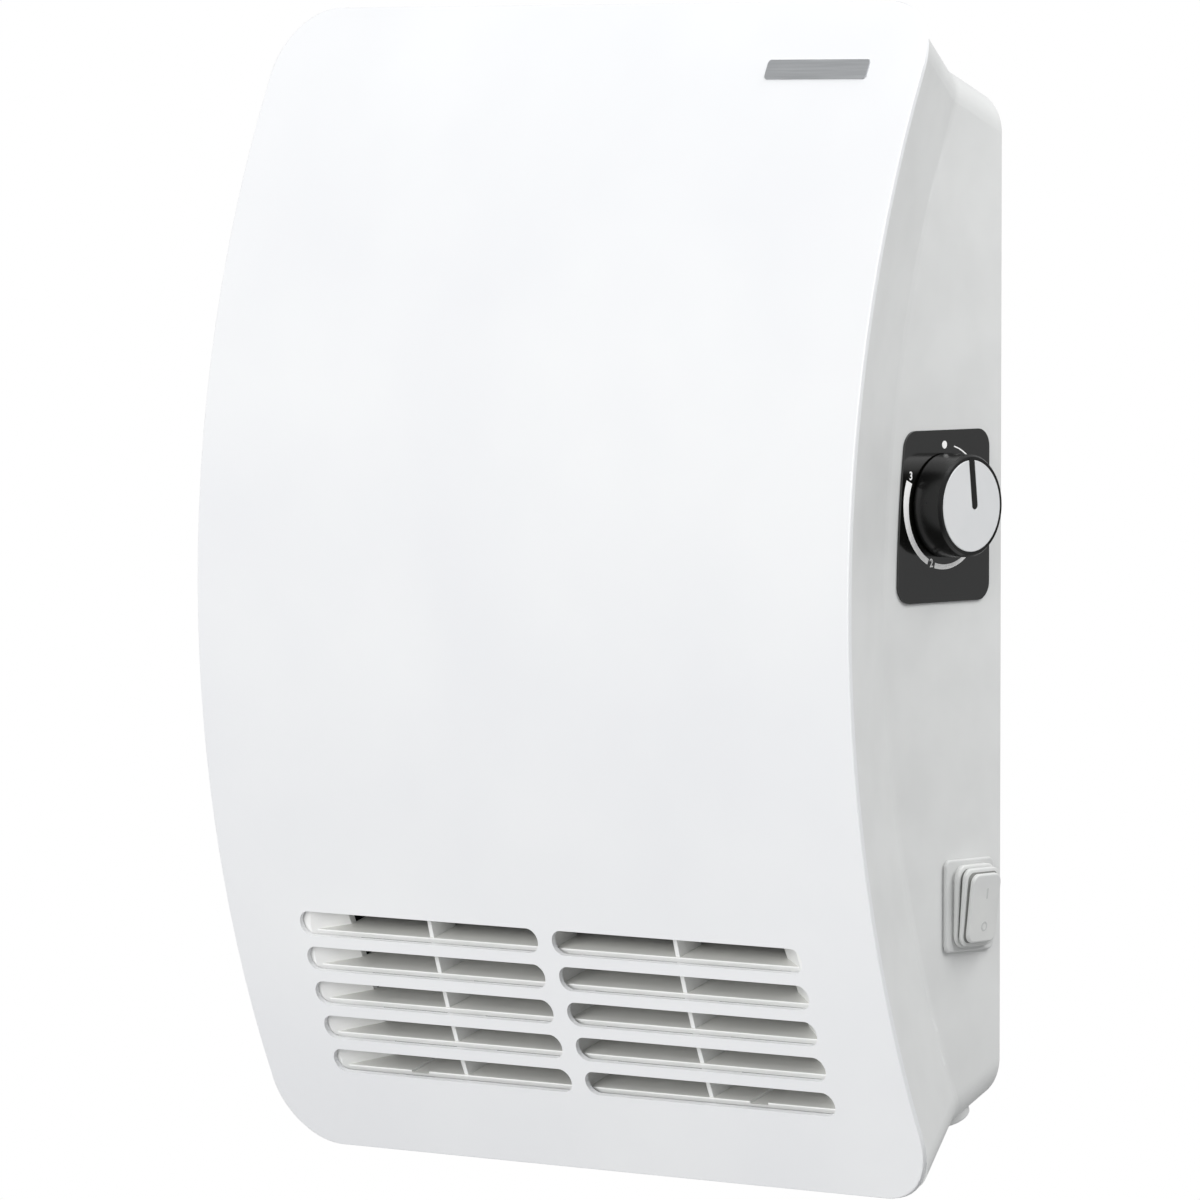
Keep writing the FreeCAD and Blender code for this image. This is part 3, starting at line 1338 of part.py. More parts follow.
NODES = {
    "rear_housing": make_rear_housing,
    "front_panel": make_front_panel,
    "panel_brackets": make_panel_brackets,
    "panel_screws": make_panel_screws,
    "badge_plate": make_badge_plate,
    "outlet_grille": make_outlet_grille,
    "grille_screws": make_grille_screws,
    "scale_plate": make_scale_plate,
    "thermostat_body": make_thermostat_body,
    "thermostat_nut": make_thermostat_nut,
    "thermostat_bulb": make_thermostat_bulb,
    "bulb_clips": make_bulb_clips,
    "thermostat_shaft": make_thermostat_shaft,
    "knob": make_knob,
    "knob_disc": make_knob_disc,
    "switch_frame": make_switch_frame,
    "switch_terminals": make_switch_terminals,
    "switch_boot": make_switch_boot,
    "rocker": make_rocker,
    "rocker_cover": make_rocker_cover,
    "wall_bracket": make_wall_bracket,
    "cable_gland": make_cable_gland,
    "gland_cap": make_gland_cap,
    "gland_locknut": make_gland_locknut,
    "terminal_block": make_terminal_block,
    "terminal_screws": make_terminal_screws,
    "fan_scroll": make_fan_scroll,
    "fan_tongue": make_fan_tongue,
    "fan_end_plate_left": make_fan_end_plate_left,
    "fan_end_plate_right": make_fan_end_plate_right,
    "fan_screws": make_fan_screws,
    "bearing_mount": make_bearing_mount,
    "far_bearing": make_far_bearing,
    "fan_wheel": make_fan_wheel,
    "motor_shaft": make_motor_shaft,
    "stub_shaft": make_stub_shaft,
    "motor_rotor": make_motor_rotor,
    "shaft_coupling": make_shaft_coupling,
    "motor_core": make_motor_core,
    "motor_coil": make_motor_coil,
    "motor_brackets": make_motor_brackets,
    "motor_bearings": make_motor_bearings,
    "motor_bolts": make_motor_bolts,
    "bolt_nuts": make_bolt_nuts,
    "motor_spacers": make_motor_spacers,
    "duct_cheeks": make_duct_cheeks,
    "heater_frame": make_heater_frame,
    "heating_element": make_heating_element,
    "element_fins": make_element_fins,
    "element_insulators": make_element_insulators,
    "thermal_cutout": make_thermal_cutout,
    "wiring": make_wiring,
}


def main():
    os.makedirs("parts", exist_ok=True)
    for name, make in NODES.items():
        made = make()
        shape = group(made) if isinstance(made, list) else made
        if not shape.isValid():
            print("not valid:", name)
        shape.exportStep(os.path.join("parts", name + ".step"))
        print(name, len(shape.Solids), "solids", round(shape.Volume), "mm3")


main()
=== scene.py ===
import json
import math

import bmesh
import bpy
from mathutils import Matrix, Vector


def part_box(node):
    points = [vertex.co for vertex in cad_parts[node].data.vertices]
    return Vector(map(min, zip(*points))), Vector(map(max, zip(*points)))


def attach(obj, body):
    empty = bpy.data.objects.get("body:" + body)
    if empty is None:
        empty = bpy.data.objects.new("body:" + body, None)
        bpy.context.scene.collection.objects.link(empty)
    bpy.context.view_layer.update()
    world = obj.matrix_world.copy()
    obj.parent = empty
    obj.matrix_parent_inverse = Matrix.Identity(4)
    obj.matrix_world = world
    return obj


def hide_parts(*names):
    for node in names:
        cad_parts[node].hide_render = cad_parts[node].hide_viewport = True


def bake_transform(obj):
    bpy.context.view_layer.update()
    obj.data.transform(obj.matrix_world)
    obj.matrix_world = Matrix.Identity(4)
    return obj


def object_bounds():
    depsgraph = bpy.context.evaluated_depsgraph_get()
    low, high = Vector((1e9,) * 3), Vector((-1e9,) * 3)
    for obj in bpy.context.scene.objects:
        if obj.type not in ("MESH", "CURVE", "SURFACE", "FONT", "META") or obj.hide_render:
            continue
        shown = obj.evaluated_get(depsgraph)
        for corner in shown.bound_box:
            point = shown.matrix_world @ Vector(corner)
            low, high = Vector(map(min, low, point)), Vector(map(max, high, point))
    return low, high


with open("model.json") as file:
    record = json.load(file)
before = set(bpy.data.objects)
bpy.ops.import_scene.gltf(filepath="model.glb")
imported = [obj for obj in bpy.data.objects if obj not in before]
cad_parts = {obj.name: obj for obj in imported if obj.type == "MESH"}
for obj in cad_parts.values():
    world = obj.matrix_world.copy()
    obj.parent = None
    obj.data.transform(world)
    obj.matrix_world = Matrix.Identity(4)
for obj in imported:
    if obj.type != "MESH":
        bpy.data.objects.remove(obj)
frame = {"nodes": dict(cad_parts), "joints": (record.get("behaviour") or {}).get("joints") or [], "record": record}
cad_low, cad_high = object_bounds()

nodes = frame["nodes"]
joints = {j["name"]: j for j in frame["joints"]}
MM = 0.001


# ------------------------------------------------------------------ materials
def linear(value):
    """sRGB 0..1 to scene linear."""
    return value / 12.92 if value <= 0.04045 else ((value + 0.055) / 1.055) ** 2.4


def srgb(r, g, b):
    return tuple(linear(c / 255.0) for c in (r, g, b)) + (1.0,)


class Finish:
    """A Principled material whose colour, roughness and bump vary through procedural nodes."""

    def __init__(self, name, roughness, metallic=0.0):
        self.name = name
        self.material = bpy.data.materials.new(name)
        self.material.use_nodes = True
        self.tree = self.material.node_tree
        self.shader = next(n for n in self.tree.nodes if n.type == "BSDF_PRINCIPLED")
        self.shader.inputs["Roughness"].default_value = roughness
        self.shader.inputs["Metallic"].default_value = metallic
        self.place = self.tree.nodes.new("ShaderNodeTexCoord").outputs["Object"]

    def node(self, kind, **settings):
        made = self.tree.nodes.new(kind)
        for key, value in settings.items():
            setattr(made, key, value)
        return made

    def link(self, a, b):
        self.tree.links.new(a, b)

    def stretched(self, scale):
        mapping = self.node("ShaderNodeMapping")
        mapping.inputs["Scale"].default_value = scale
        self.link(self.place, mapping.inputs["Vector"])
        return mapping.outputs["Vector"]

    def noise(self, scale, detail=3.0, stretch=None):
        made = self.node("ShaderNodeTexNoise")
        made.inputs["Scale"].default_value = scale
        made.inputs["Detail"].default_value = detail
        self.link(self.stretched(stretch) if stretch else self.place, made.inputs["Vector"])
        return made.outputs["Fac"]

    def ramp(self, source, stops):
        made = self.node("ShaderNodeValToRGB")
        ramp = made.color_ramp
        while len(ramp.elements) < len(stops):
            ramp.elements.new(0.5)
        for element, (position, colour) in zip(ramp.elements, stops):
            element.position = position
            element.color = colour
        self.link(source, made.inputs["Fac"])
        return made.outputs["Color"]

    def spread(self, source, low, high):
        made = self.node("ShaderNodeMapRange")
        made.inputs["To Min"].default_value = low
        made.inputs["To Max"].default_value = high
        self.link(source, made.inputs["Value"])
        return made.outputs["Result"]

    def colour(self, low, high, scale, detail=3.0, stretch=None):
        """Mottle between two close colours."""
        mixed = self.ramp(self.noise(scale, detail, stretch), [(0.35, low), (0.65, high)])
        self.link(mixed, self.shader.inputs["Base Color"])

    def rough(self, low, high, scale, stretch=None):
        self.link(self.spread(self.noise(scale, 4.0, stretch), low, high), self.shader.inputs["Roughness"])

    def bump(self, height, strength, distance):
        made = self.node("ShaderNodeBump")
        made.inputs["Strength"].default_value = strength
        made.inputs["Distance"].default_value = distance
        self.link(height, made.inputs["Height"])
        self.link(made.outputs["Normal"], self.shader.inputs["Normal"])

    def coat(self, weight, roughness):
        self.shader.inputs["Coat Weight"].default_value = weight
        self.shader.inputs["Coat Roughness"].default_value = roughness


def moulded(name, dark, light, roughness, grain=0.12, grain_scale=1400.0, ior=1.5):
    """Injection-moulded plastic: a faint flow mottle and a fine eroded grain."""
    made = Finish(name, roughness)
    made.colour(dark, light, 35.0)
    made.rough(roughness * 0.88, roughness * 1.14, 60.0)
    made.bump(made.noise(grain_scale, 2.0), grain, 0.0001)
    made.shader.inputs["IOR"].default_value = ior
    return made


def rolled_metal(name, dark, light, roughness, stretch=(0.04, 1.0, 1.0)):
    """Sheet or bar metal with drawing lines along one direction."""
    made = Finish(name, roughness, 1.0)
    made.colour(dark, light, 900.0, 4.0, stretch)
    made.rough(roughness - 0.07, roughness + 0.09, 1100.0, stretch)
    made.bump(made.noise(1600.0, 3.0, stretch), 0.10, 0.00005)
    return made


def powder_paint():
    """Smooth white powder coat with a very slight orange peel."""
    made = Finish("panel_paint", 0.30)
    made.colour(srgb(240, 241, 243), srgb(244, 245, 246), 9.0)
    made.rough(0.27, 0.34, 25.0)
    made.bump(made.noise(620.0, 2.0), 0.045, 0.0001)
    made.coat(0.25, 0.12)
    return made


def grille_with_painted_shade():
    """White plastic with painted shade: the faces that look up, under the panel and the vanes above, go grey."""
    made = moulded("grille_plastic", srgb(241, 242, 240), srgb(246, 246, 245), 0.40, 0.06, 900.0)
    plain = made.shader.inputs["Base Color"].links[0].from_socket
    split = made.node("ShaderNodeSeparateXYZ")
    made.link(made.place.node.outputs["Normal"], split.inputs["Vector"])
    # Painted shade: faces whose normal points up blend towards grey.
    painted_shade_mask = made.node("ShaderNodeMapRange")
    painted_shade_mask.inputs["From Min"].default_value = 0.6
    painted_shade_mask.inputs["From Max"].default_value = 0.9
    made.link(split.outputs["Z"], painted_shade_mask.inputs["Value"])
    mixed = made.node("ShaderNodeMix", data_type="RGBA")
    made.link(painted_shade_mask.outputs["Result"], mixed.inputs["Factor"])
    made.link(plain, mixed.inputs["A"])
    # the grey of the painted shade on the up-facing faces
    mixed.inputs["B"].default_value = srgb(212, 212, 208)
    made.link(mixed.outputs["Result"], made.shader.inputs["Base Color"])
    return made


def zinc(name):
    """Spangled zinc coat."""
    made = Finish(name, 0.42, 1.0)
    cells = made.node("ShaderNodeTexVoronoi")
    cells.inputs["Scale"].default_value = 190.0
    made.link(made.place, cells.inputs["Vector"])
    grey = made.ramp(cells.outputs["Color"], [(0.2, srgb(150, 154, 156)), (0.8, srgb(182, 186, 188))])
    made.link(grey, made.shader.inputs["Base Color"])
    made.rough(0.34, 0.50, 240.0)
    made.bump(made.noise(700.0), 0.06, 0.0001)
    return made


def spun_disc():
    """Satin light grey face with fine turning rings about the knob's own axis."""
    made = Finish("disc_satin", 0.38)
    centre = Vector(joints["knob_turn"]["pos_m"])
    shift = made.node("ShaderNodeMapping", vector_type="POINT")
    shift.inputs["Location"].default_value = (0.0, -centre.y, -centre.z)
    shift.inputs["Scale"].default_value = (0.0, 1.0, 1.0)
    made.link(made.place, shift.inputs["Vector"])
    rings = made.node("ShaderNodeTexWave", wave_type="RINGS", rings_direction="SPHERICAL")
    rings.inputs["Scale"].default_value = 1200.0
    rings.inputs["Distortion"].default_value = 0.6
    made.link(shift.outputs["Vector"], rings.inputs["Vector"])
    made.colour(srgb(226, 228, 229), srgb(232, 233, 234), 40.0)
    made.bump(rings.outputs["Fac"], 0.04, 0.00003)
    made.rough(0.33, 0.42, 90.0)
    return made


def tape():
    """Wound coil tape in overlapping turns."""
    made = Finish("coil_tape", 0.55)
    wave = made.node("ShaderNodeTexWave", wave_type="BANDS", bands_direction="Z")
    wave.inputs["Scale"].default_value = 160.0
    wave.inputs["Distortion"].default_value = 1.2
    made.link(made.place, wave.inputs["Vector"])
    made.link(made.ramp(wave.outputs["Fac"], [(0.2, srgb(176, 112, 44)), (0.9, srgb(205, 142, 66))]),
              made.shader.inputs["Base Color"])
    made.bump(wave.outputs["Fac"], 0.3, 0.0003)
    return made


def laminations():
    """Stacked steel sheets seen at their edges."""
    made = Finish("motor_steel", 0.5, 0.9)
    wave = made.node("ShaderNodeTexWave", wave_type="BANDS", bands_direction="X")
    wave.inputs["Scale"].default_value = 620.0
    made.link(made.place, wave.inputs["Vector"])
    made.link(made.ramp(wave.outputs["Fac"], [(0.1, srgb(70, 72, 76)), (0.9, srgb(112, 115, 120))]),
              made.shader.inputs["Base Color"])
    made.bump(wave.outputs["Fac"], 0.2, 0.0001)
    return made


def soft_rubber(name, dark, light, roughness):
    """Moulded rubber or soft insulation: matt, with a fine grain and a trace of sheen."""
    made = Finish(name, roughness)
    made.colour(dark, light, 50.0)
    made.rough(roughness - 0.06, roughness + 0.08, 120.0)
    made.bump(made.noise(900.0, 2.0), 0.08, 0.0001)
    made.shader.inputs["Sheen Weight"].default_value = 0.05
    return made


def glowing_print_ink(name):
    """Screen-printed marks: a slightly uneven opaque white, with a faint glow of painted light."""
    made = Finish(name, 0.5)
    made.colour(srgb(249, 249, 248), srgb(255, 255, 254), 260.0)
    made.bump(made.noise(1500.0, 2.0), 0.05, 0.00005)
    # Painted light: a faint white emission makes the ink glow brighter than the lamps light it.
    made.shader.inputs["Emission Color"].default_value = (1.0, 1.0, 1.0, 1.0)
    made.shader.inputs["Emission Strength"].default_value = 0.12
    return made


finishes = {}


def build_finishes():
    """A finish for each material slot, and three more: painted shade for the boot's grooves and for its marks, and
    the print, which glows faintly as painted light.
    """
    drawn_along_z = (1.0, 1.0, 0.2)
    turned_about_x = (1.0, 0.1, 0.1)
    made = [
        powder_paint(),
        moulded("housing_plastic", srgb(229, 230, 229), srgb(234, 235, 234), 0.42, 0.08, 900.0),
        grille_with_painted_shade(),
        rolled_metal("badge_metal", srgb(196, 198, 200), srgb(208, 210, 212), 0.32),
        moulded("scale_gloss", srgb(11, 11, 9), srgb(14, 14, 12), 0.09, 0.0, ior=1.85),
        moulded("knob_black", srgb(8, 8, 7), srgb(12, 12, 11), 0.26, 0.03),
        spun_disc(),
        moulded("switch_plastic", srgb(218, 219, 218), srgb(223, 224, 223), 0.40, 0.06),
        soft_rubber("boot_rubber", srgb(224, 225, 224), srgb(230, 231, 229), 0.48),
        # painted shade for the faces in the boot's grooves
        soft_rubber("boot_groove_painted_shade", srgb(142, 143, 140), srgb(152, 153, 150), 0.70),
        soft_rubber("boot_mark_painted_shade", srgb(204, 205, 204), srgb(210, 211, 210), 0.52),
        moulded("lever_nylon", srgb(30, 30, 30), srgb(38, 38, 38), 0.5),
        zinc("galvanised"),
        moulded("duct_black", srgb(15, 15, 15), srgb(22, 22, 22), 0.60, 0.2, 500.0),
        rolled_metal("screw_zinc", srgb(176, 178, 181), srgb(198, 200, 203), 0.32, drawn_along_z),
        rolled_metal("shaft_steel", srgb(170, 172, 175), srgb(196, 198, 200), 0.22, turned_about_x),
        laminations(),
        tape(),
        rolled_metal("wheel_aluminium", srgb(196, 198, 200), srgb(214, 216, 218), 0.34),
        rolled_metal("element_sheath", srgb(78, 70, 64), srgb(104, 94, 84), 0.5),
        moulded("ceramic", srgb(226, 222, 210), srgb(236, 232, 221), 0.6, 0.2, 700.0),
        moulded("phenolic", srgb(38, 33, 30), srgb(50, 44, 40), 0.5),
        rolled_metal("brass_parts", srgb(190, 158, 96), srgb(214, 182, 116), 0.3),
        rolled_metal("bronze", srgb(158, 120, 78), srgb(180, 140, 94), 0.45),
        rolled_metal("copper", srgb(184, 120, 84), srgb(206, 140, 100), 0.3),
        moulded("clip_nylon", srgb(222, 219, 208), srgb(232, 229, 219), 0.45),
        soft_rubber("mount_rubber", srgb(24, 24, 24), srgb(34, 34, 34), 0.7),
        moulded("gland_nylon", srgb(222, 223, 221), srgb(230, 231, 229), 0.45),
        soft_rubber("lead_insulation", srgb(150, 70, 34), srgb(168, 84, 44), 0.45),
        glowing_print_ink("print_white_painted_glow"),
    ]
    for finish in made:
        finishes[finish.name] = finish


def dress(obj, finish_name):
    obj.data.materials.clear()
    obj.data.materials.append(finishes[finish_name].material)


def dress_nodes():
    """Each carried-over CAD node gets the finish of its material slot, and smooth curved faces."""
    slots = {s["node"]: s["material_slot"] for s in frame["record"]["subparts"]}
    for name, obj in nodes.items():
        dress(obj, slots[name])
        smooth(obj, 25)


# ------------------------------------------------------------------ mesh helpers
def new_piece(name, mesh, slot_name, body=None, finish_name=None):
    """An object for the mesh, dressed in its finish, and attached to the body if one is given."""
    obj = bpy.data.objects.new(name, mesh)
    bpy.context.scene.collection.objects.link(obj)
    dress(obj, finish_name or slot_name)
    if body:
        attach(obj, body)
    return obj


def smooth(obj, degrees):
    """Smooth shading, but for edges sharper than the angle."""
    mesh = obj.data
    mesh.polygons.foreach_set("use_smooth", [True] * len(mesh.polygons))
    mesh.set_sharp_from_angle(angle=math.radians(degrees))


def rounded_outline(width, height, radius, per_corner=8):
    """Points of a rounded rectangle, counter-clockwise, centred on the origin."""
    points = []
    for quarter in range(4):
        start = math.radians(90 * quarter)
        sx = 1 if quarter in (0, 3) else -1
        sy = 1 if quarter in (0, 1) else -1
        cx, cy = sx * (width / 2 - radius), sy * (height / 2 - radius)
        for i in range(per_corner + 1):
            a = start + math.pi / 2 * i / per_corner
            points.append((cx + radius * math.cos(a), cy + radius * math.sin(a)))
    return points


def bridge(bm, rings):
    """Quads between successive closed rings of vertices."""
    for a, b in zip(rings, rings[1:]):
        count = len(a)
        for i in range(count):
            j = (i + 1) % count
            bm.faces.new((a[i], a[j], b[j], b[i]))


def finished_mesh(bm, name):
    """The mesh, with its faces turned outwards."""
    bmesh.ops.recalc_face_normals(bm, faces=bm.faces)
    mesh = bpy.data.meshes.new(name)
    bm.to_mesh(mesh)
    bm.free()
    return mesh


# ------------------------------------------------------------------ thermostat scale
def scale_marks():
    """White print on the scale plate: a dot, a band that widens clockwise, and three numerals.

    Angles are in degrees, clockwise from straight up as seen from outside.
    """
    axis = Vector(joints["knob_turn"]["pos_m"])
    face_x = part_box("scale_plate")[1].x
    ink = 0.05 * MM

    def at(angle, radius, x):
        a = math.radians(angle)
        return Vector((x, axis.y + radius * math.sin(a), axis.z + radius * math.cos(a)))

    first, last = 14.5, 293.5
    first_r, last_r = 23.5 * MM, 25.7 * MM
    first_width, last_width = 0.5 * MM, 3.6 * MM
    gaps = ((96.0, 107.0), (195.0, 205.6))
    widening = 1.5
    step_degrees = 3
    bm = bmesh.new()
    for start, end in ((first, gaps[0][0]), (gaps[0][1], gaps[1][0]), (gaps[1][1], last)):
        steps = int((end - start) / step_degrees)
        rings = []
        for i in range(steps + 1):
            angle = start + (end - start) * i / steps
            share = (angle - first) / (last - first)
            outer_r = first_r + (last_r - first_r) * share
            inner_r = outer_r - first_width - (last_width - first_width) * share ** widening
            rings.append([bm.verts.new(at(angle, r, x)) for r, x in
                          ((outer_r, face_x), (outer_r, face_x + ink),
                           (inner_r, face_x + ink), (inner_r, face_x))])
        bridge(bm, rings)
        bm.faces.new(rings[0])
        bm.faces.new(rings[-1])
    new_piece("scale_band", finished_mesh(bm, "scale_band"), "scale_gloss", "heater", "print_white_painted_glow")

    bm = bmesh.new()
    dot_r = 1.5 * MM
    dot_angle, dot_distance = -0.4, 23.3 * MM
    centre = at(dot_angle, dot_distance, 0.0)
    turns = [math.radians(a) for a in range(0, 360, 12)]
    rings = []
    for x in (face_x, face_x + ink):
        rings.append([bm.verts.new((x, centre.y + dot_r * math.cos(a), centre.z + dot_r * math.sin(a)))
                      for a in turns])
    bridge(bm, rings)
    bm.faces.new(rings[0])
    bm.faces.new(rings[1])
    new_piece("scale_dot", finished_mesh(bm, "scale_dot"), "scale_gloss", "heater", "print_white_painted_glow")

    to_plate = Matrix(((0, 0, 1, 0), (1, 0, 0, 0), (0, 1, 0, 0), (0, 0, 0, 1)))
    for digit, angle, radius in (("1", 101.5, 23.6), ("2", 200.4, 23.5), ("3", 299.5, 24.1)):
        mesh = numeral_mesh(digit, ink)
        mesh.transform(Matrix.Translation(at(angle, radius * MM, face_x + ink / 2)) @ to_plate)
        new_piece("numeral_" + digit, mesh, "scale_gloss", "heater", "print_white_painted_glow")


def numeral_mesh(digit, thickness):
    """One upright numeral in the XY plane, centred on the origin."""
    height = 3.3 * MM
    narrow = 0.93
    bolder = 0.018
    text = bpy.data.curves.new("digit", "FONT")
    text.body = digit
    text.extrude = 0.5
    text.offset = bolder
    text.resolution_u = 6
    holder = bpy.data.objects.new("digit", text)
    bpy.context.scene.collection.objects.link(holder)
    bpy.context.view_layer.update()
    mesh = bpy.data.meshes.new_from_object(holder.evaluated_get(bpy.context.evaluated_depsgraph_get()))
    bpy.data.objects.remove(holder)
    lows = [min(v.co[i] for v in mesh.vertices) for i in range(3)]
    highs = [max(v.co[i] for v in mesh.vertices) for i in range(3)]
    middle = Vector([(low + high) / 2 for low, high in zip(lows, highs)])
    grow = height / (highs[1] - lows[1])
    mesh.transform(Matrix.Diagonal((grow * narrow, grow, thickness, 1)) @ Matrix.Translation(-middle))
    return mesh


# ------------------------------------------------------------------ sealed rocker switch
def rocker_rest_tilt():
    """The rocker's lean at rest, in radians: half its travel, with its O end pressed."""
    return math.radians(joints["rocker_tilt"]["range_deg"][1] / 2)


def tilted(pivot, turn, x, y, z):
    """A place measured from the pivot, turned about the pivot's Y axis."""
    return Vector((pivot.x + x * math.cos(turn) + z * math.sin(turn), pivot.y + y,
                   pivot.z - x * math.sin(turn) + z * math.cos(turn)))


# the boot's widths across, in millimetres; it is taller than wide by boot_taller
boot_taller = 9.0
boot_widest = 23.0
boot_groove_width = 16.0


def boot_profile():
    """(share of the way out, width) of each ring: a narrow foot and two lips with grooves behind them."""
    groove = boot_groove_width
    foot = 20.4
    points = [(0.0, foot - 0.8), (0.0, foot), (0.10, foot)]
    for low, high, lip in ((0.16, 0.43, boot_widest), (0.60, 0.84, 21.2)):
        points += [(low - 0.02, lip - 1.0), (low, lip - 0.4), (low + 0.03, lip), (high - 0.03, lip),
                   (high, lip - 0.4), (high + 0.02, lip - 1.0), (high + 0.03, lip - 2.6),
                   (high + 0.05, groove + 0.6), (high + 0.09, groove)]
        if high < 0.5:
            points += [(0.54, groove), (0.57, groove + 0.6)]
    return points + [(1.0, groove), (1.04, groove - 0.4)]


def switch_boot():
    """Pleated rubber skirt: two folds between its foot on the bezel and the moulded face."""
    pivot = Vector(joints["rocker_tilt"]["pos_m"])
    foot_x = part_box("switch_boot")[0].x
    foot_from_pivot = foot_x - pivot.x
    tilt = rocker_rest_tilt()
    cap_back = 6.0 * MM
    profile = boot_profile()
    bm = bmesh.new()
    rings = []
    for share, width in profile:
        turn = tilt * min(share, 1.0)
        x = foot_from_pivot + (cap_back - foot_from_pivot) * share
        # the corners get tighter outwards, and in the grooves
        corner = 5.2 - 1.2 * share - (boot_widest - width) * 0.2
        outline = rounded_outline(width * MM, (width + boot_taller) * MM, corner * MM, 10)
        rings.append([bm.verts.new(tilted(pivot, turn, x, y, z)) for y, z in outline])
    bridge(bm, rings)
    per_ring = len(rings[0])
    mesh = finished_mesh(bm, "rocker_boot")
    obj = new_piece("rocker_boot", mesh, "boot_rubber")
    # Painted shade: the faces in the grooves between the lips take a darker rubber.
    mesh.materials.append(finishes["boot_groove_painted_shade"].material)
    foot_rings = 3
    painted_shade_width_limit = boot_groove_width + 1.5
    for i, face in enumerate(mesh.polygons):
        ring = i // per_ring
        narrowest = min(profile[ring][1], profile[ring + 1][1])
        face.material_index = 1 if ring >= foot_rings and narrowest < painted_shade_width_limit else 0
    thick = obj.modifiers.new("wall", "SOLIDIFY")
    thick.thickness = 0.35 * MM
    thick.offset = -1.0
    smooth(obj, 70)
    bpy.context.view_layer.update()
    baked = bpy.data.meshes.new_from_object(obj.evaluated_get(bpy.context.evaluated_depsgraph_get()))
    obj.modifiers.clear()
    obj.data = baked
    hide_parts("switch_boot")
    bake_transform(obj)


def rocker_marks():
    """Raised bar and ring on the rocker's face, in the same rubber, coloured a shade darker as painted shade of
    their relief.
    """
    pivot = Vector(joints["rocker_tilt"]["pos_m"])
    tilt = rocker_rest_tilt()
    face = 7.5 * MM
    proud = 0.12 * MM
    shoulder = proud * 0.6
    sunk = 0.1 * MM
    aside = 0.5 * MM
    bar_width, bar_height, bar_corner, bar_up = 0.8 * MM, 4.2 * MM, 0.3 * MM, 5.8 * MM
    bm = bmesh.new()
    rings = []
    for x, grow in ((face - sunk, 0.0), (face + shoulder, 0.0), (face + proud, -0.12 * MM)):
        outline = rounded_outline(bar_width + grow, bar_height + grow, bar_corner, 4)
        rings.append([bm.verts.new(tilted(pivot, tilt, x, y + aside, z + bar_up)) for y, z in outline])
    bridge(bm, rings)
    bm.faces.new(rings[0])
    bm.faces.new(rings[-1])
    # The darker rubber of the marks is painted shade for their relief.
    new_piece("rocker_mark_on", finished_mesh(bm, "rocker_mark_on"), "boot_rubber", "rocker", "boot_mark_painted_shade")

    ring_r, ring_down, half = 1.45 * MM, 7.1 * MM, 0.36 * MM
    taller = 1.1
    profile = [(-half, -sunk), (-half, shoulder), (-half * 0.6, proud), (half * 0.6, proud),
               (half, shoulder), (half, -sunk)]
    bm = bmesh.new()
    rings = []
    for i in range(36):
        a = math.radians(10 * i)
        rings.append([bm.verts.new(tilted(pivot, tilt, face + h, aside + (ring_r + r) * math.cos(a),
                                          (ring_r * taller + r) * math.sin(a) - ring_down))
                      for r, h in profile])
    rings.append(rings[0])
    bridge(bm, rings)
    new_piece("rocker_mark_off", finished_mesh(bm, "rocker_mark_off"), "boot_rubber", "rocker", "boot_mark_painted_shade")


# ------------------------------------------------------------------ stage, light, camera
def build_stage():
    """Pale floor, as far below the heater as it hangs on a wall."""
    hanging_height = 1.6
    floor_z = cad_low.z - hanging_height
    half = 1.3
    mesh = bpy.data.meshes.new("floor")
    mesh.from_pydata([(-half, -half, floor_z), (half, -half, floor_z), (half, half, floor_z),
                      (-half, half, floor_z)], [], [(0, 1, 2, 3)])
    floor = bpy.data.objects.new("floor", mesh)
    bpy.context.scene.collection.objects.link(floor)
    pale = Finish("floor_pale", 0.9)
    pale.colour(srgb(240, 240, 240), srgb(243, 243, 243), 2.0)
    floor.data.materials.append(pale.material)


def add_light(name, kind, place, direction, energy):
    """A lamp at place that shines along direction."""
    data = bpy.data.lights.new(name, kind)
    data.energy = energy
    obj = bpy.data.objects.new(name, data)
    bpy.context.scene.collection.objects.link(obj)
    obj.location = place
    obj.rotation_mode = "QUATERNION"
    obj.rotation_quaternion = Vector(direction).to_track_quat("-Z", "Y")
    return data


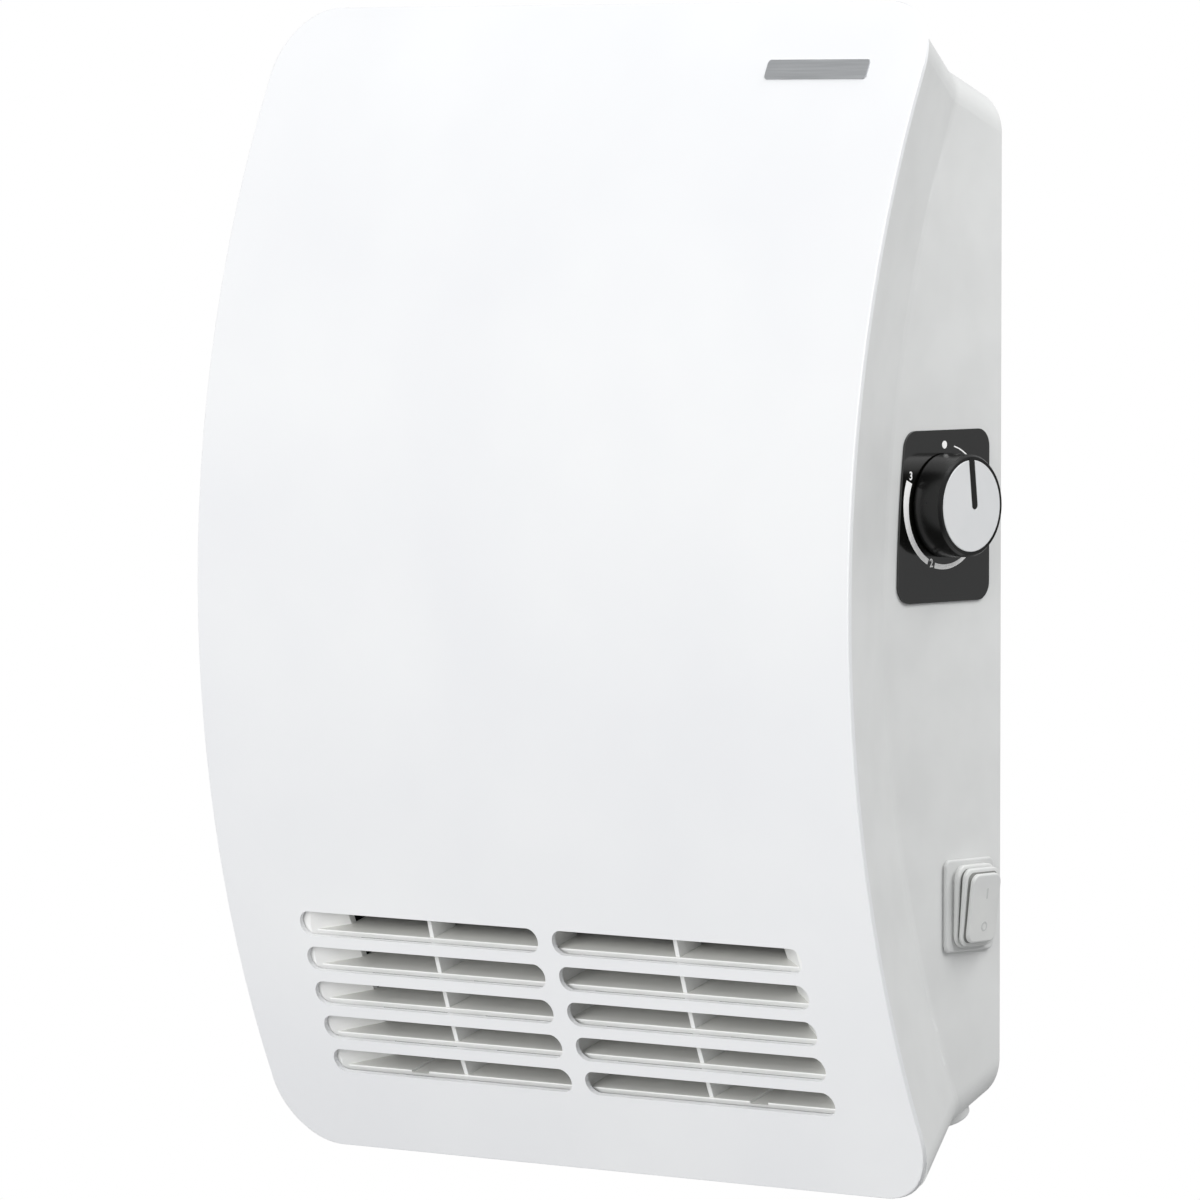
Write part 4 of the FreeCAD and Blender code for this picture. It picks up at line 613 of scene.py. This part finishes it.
def build_world():
    """White room for the camera; for lighting, a soft sky brighter above than below."""
    light_from_below, light_from_above = 0.14, 0.60
    world = bpy.data.worlds.new("studio")
    bpy.context.scene.world = world
    world.use_nodes = True
    tree = world.node_tree
    tree.nodes.clear()
    out = tree.nodes.new("ShaderNodeOutputWorld")
    seen = tree.nodes.new("ShaderNodeBackground")
    seen.inputs["Color"].default_value = (1, 1, 1, 1)
    seen.inputs["Strength"].default_value = 1.0
    fill = tree.nodes.new("ShaderNodeBackground")
    fill.inputs["Color"].default_value = (0.985, 0.992, 1.0, 1)
    place = tree.nodes.new("ShaderNodeTexCoord")
    split = tree.nodes.new("ShaderNodeSeparateXYZ")
    height = tree.nodes.new("ShaderNodeMapRange")
    height.inputs["From Min"].default_value = -1.0
    height.inputs["To Min"].default_value = light_from_below
    height.inputs["To Max"].default_value = light_from_above
    path = tree.nodes.new("ShaderNodeLightPath")
    mix = tree.nodes.new("ShaderNodeMixShader")
    tree.links.new(place.outputs["Generated"], split.inputs["Vector"])
    tree.links.new(split.outputs["Z"], height.inputs["Value"])
    tree.links.new(height.outputs["Result"], fill.inputs["Strength"])
    tree.links.new(path.outputs["Is Camera Ray"], mix.inputs["Fac"])
    tree.links.new(fill.outputs[0], mix.inputs[1])
    tree.links.new(seen.outputs[0], mix.inputs[2])
    tree.links.new(mix.outputs[0], out.inputs["Surface"])


def build_light():
    """A wide soft sun from the front and a softbox high on the right."""
    build_world()
    key = add_light("key", "SUN", (0, 0, 0), (0.0, 0.96, -0.275), 2.03)
    key.angle = math.radians(50)
    side_place = Vector((1.25, 0.35, 1.25))
    side_aim = Vector((cad_high.x, cad_low.y / 2, 0.0))
    side = add_light("side", "AREA", side_place, side_aim - side_place, 19.8)
    side.size = 1.2


def build_camera():
    """A long lens, slightly above the middle and well to the right of the heater."""
    place = Vector((2.24028, -2.70229, 0.18007))
    aim = Vector((-0.0088, -0.060, -0.00468))
    data = bpy.data.cameras.new("camera")
    data.sensor_fit = "AUTO"
    data.sensor_width = 36.0
    data.lens = 263.85
    data.dof.use_dof = False
    data.clip_end = 100.0
    camera = bpy.data.objects.new("camera", data)
    bpy.context.scene.collection.objects.link(camera)
    camera.location = place
    camera.rotation_mode = "QUATERNION"
    camera.rotation_quaternion = (aim - place).to_track_quat("-Z", "Y")
    bpy.context.scene.camera = camera


build_camera()
build_finishes()
dress_nodes()
scale_marks()
switch_boot()
rocker_marks()
build_stage()
build_light()
bpy.context.scene.view_settings.view_transform = "Standard"
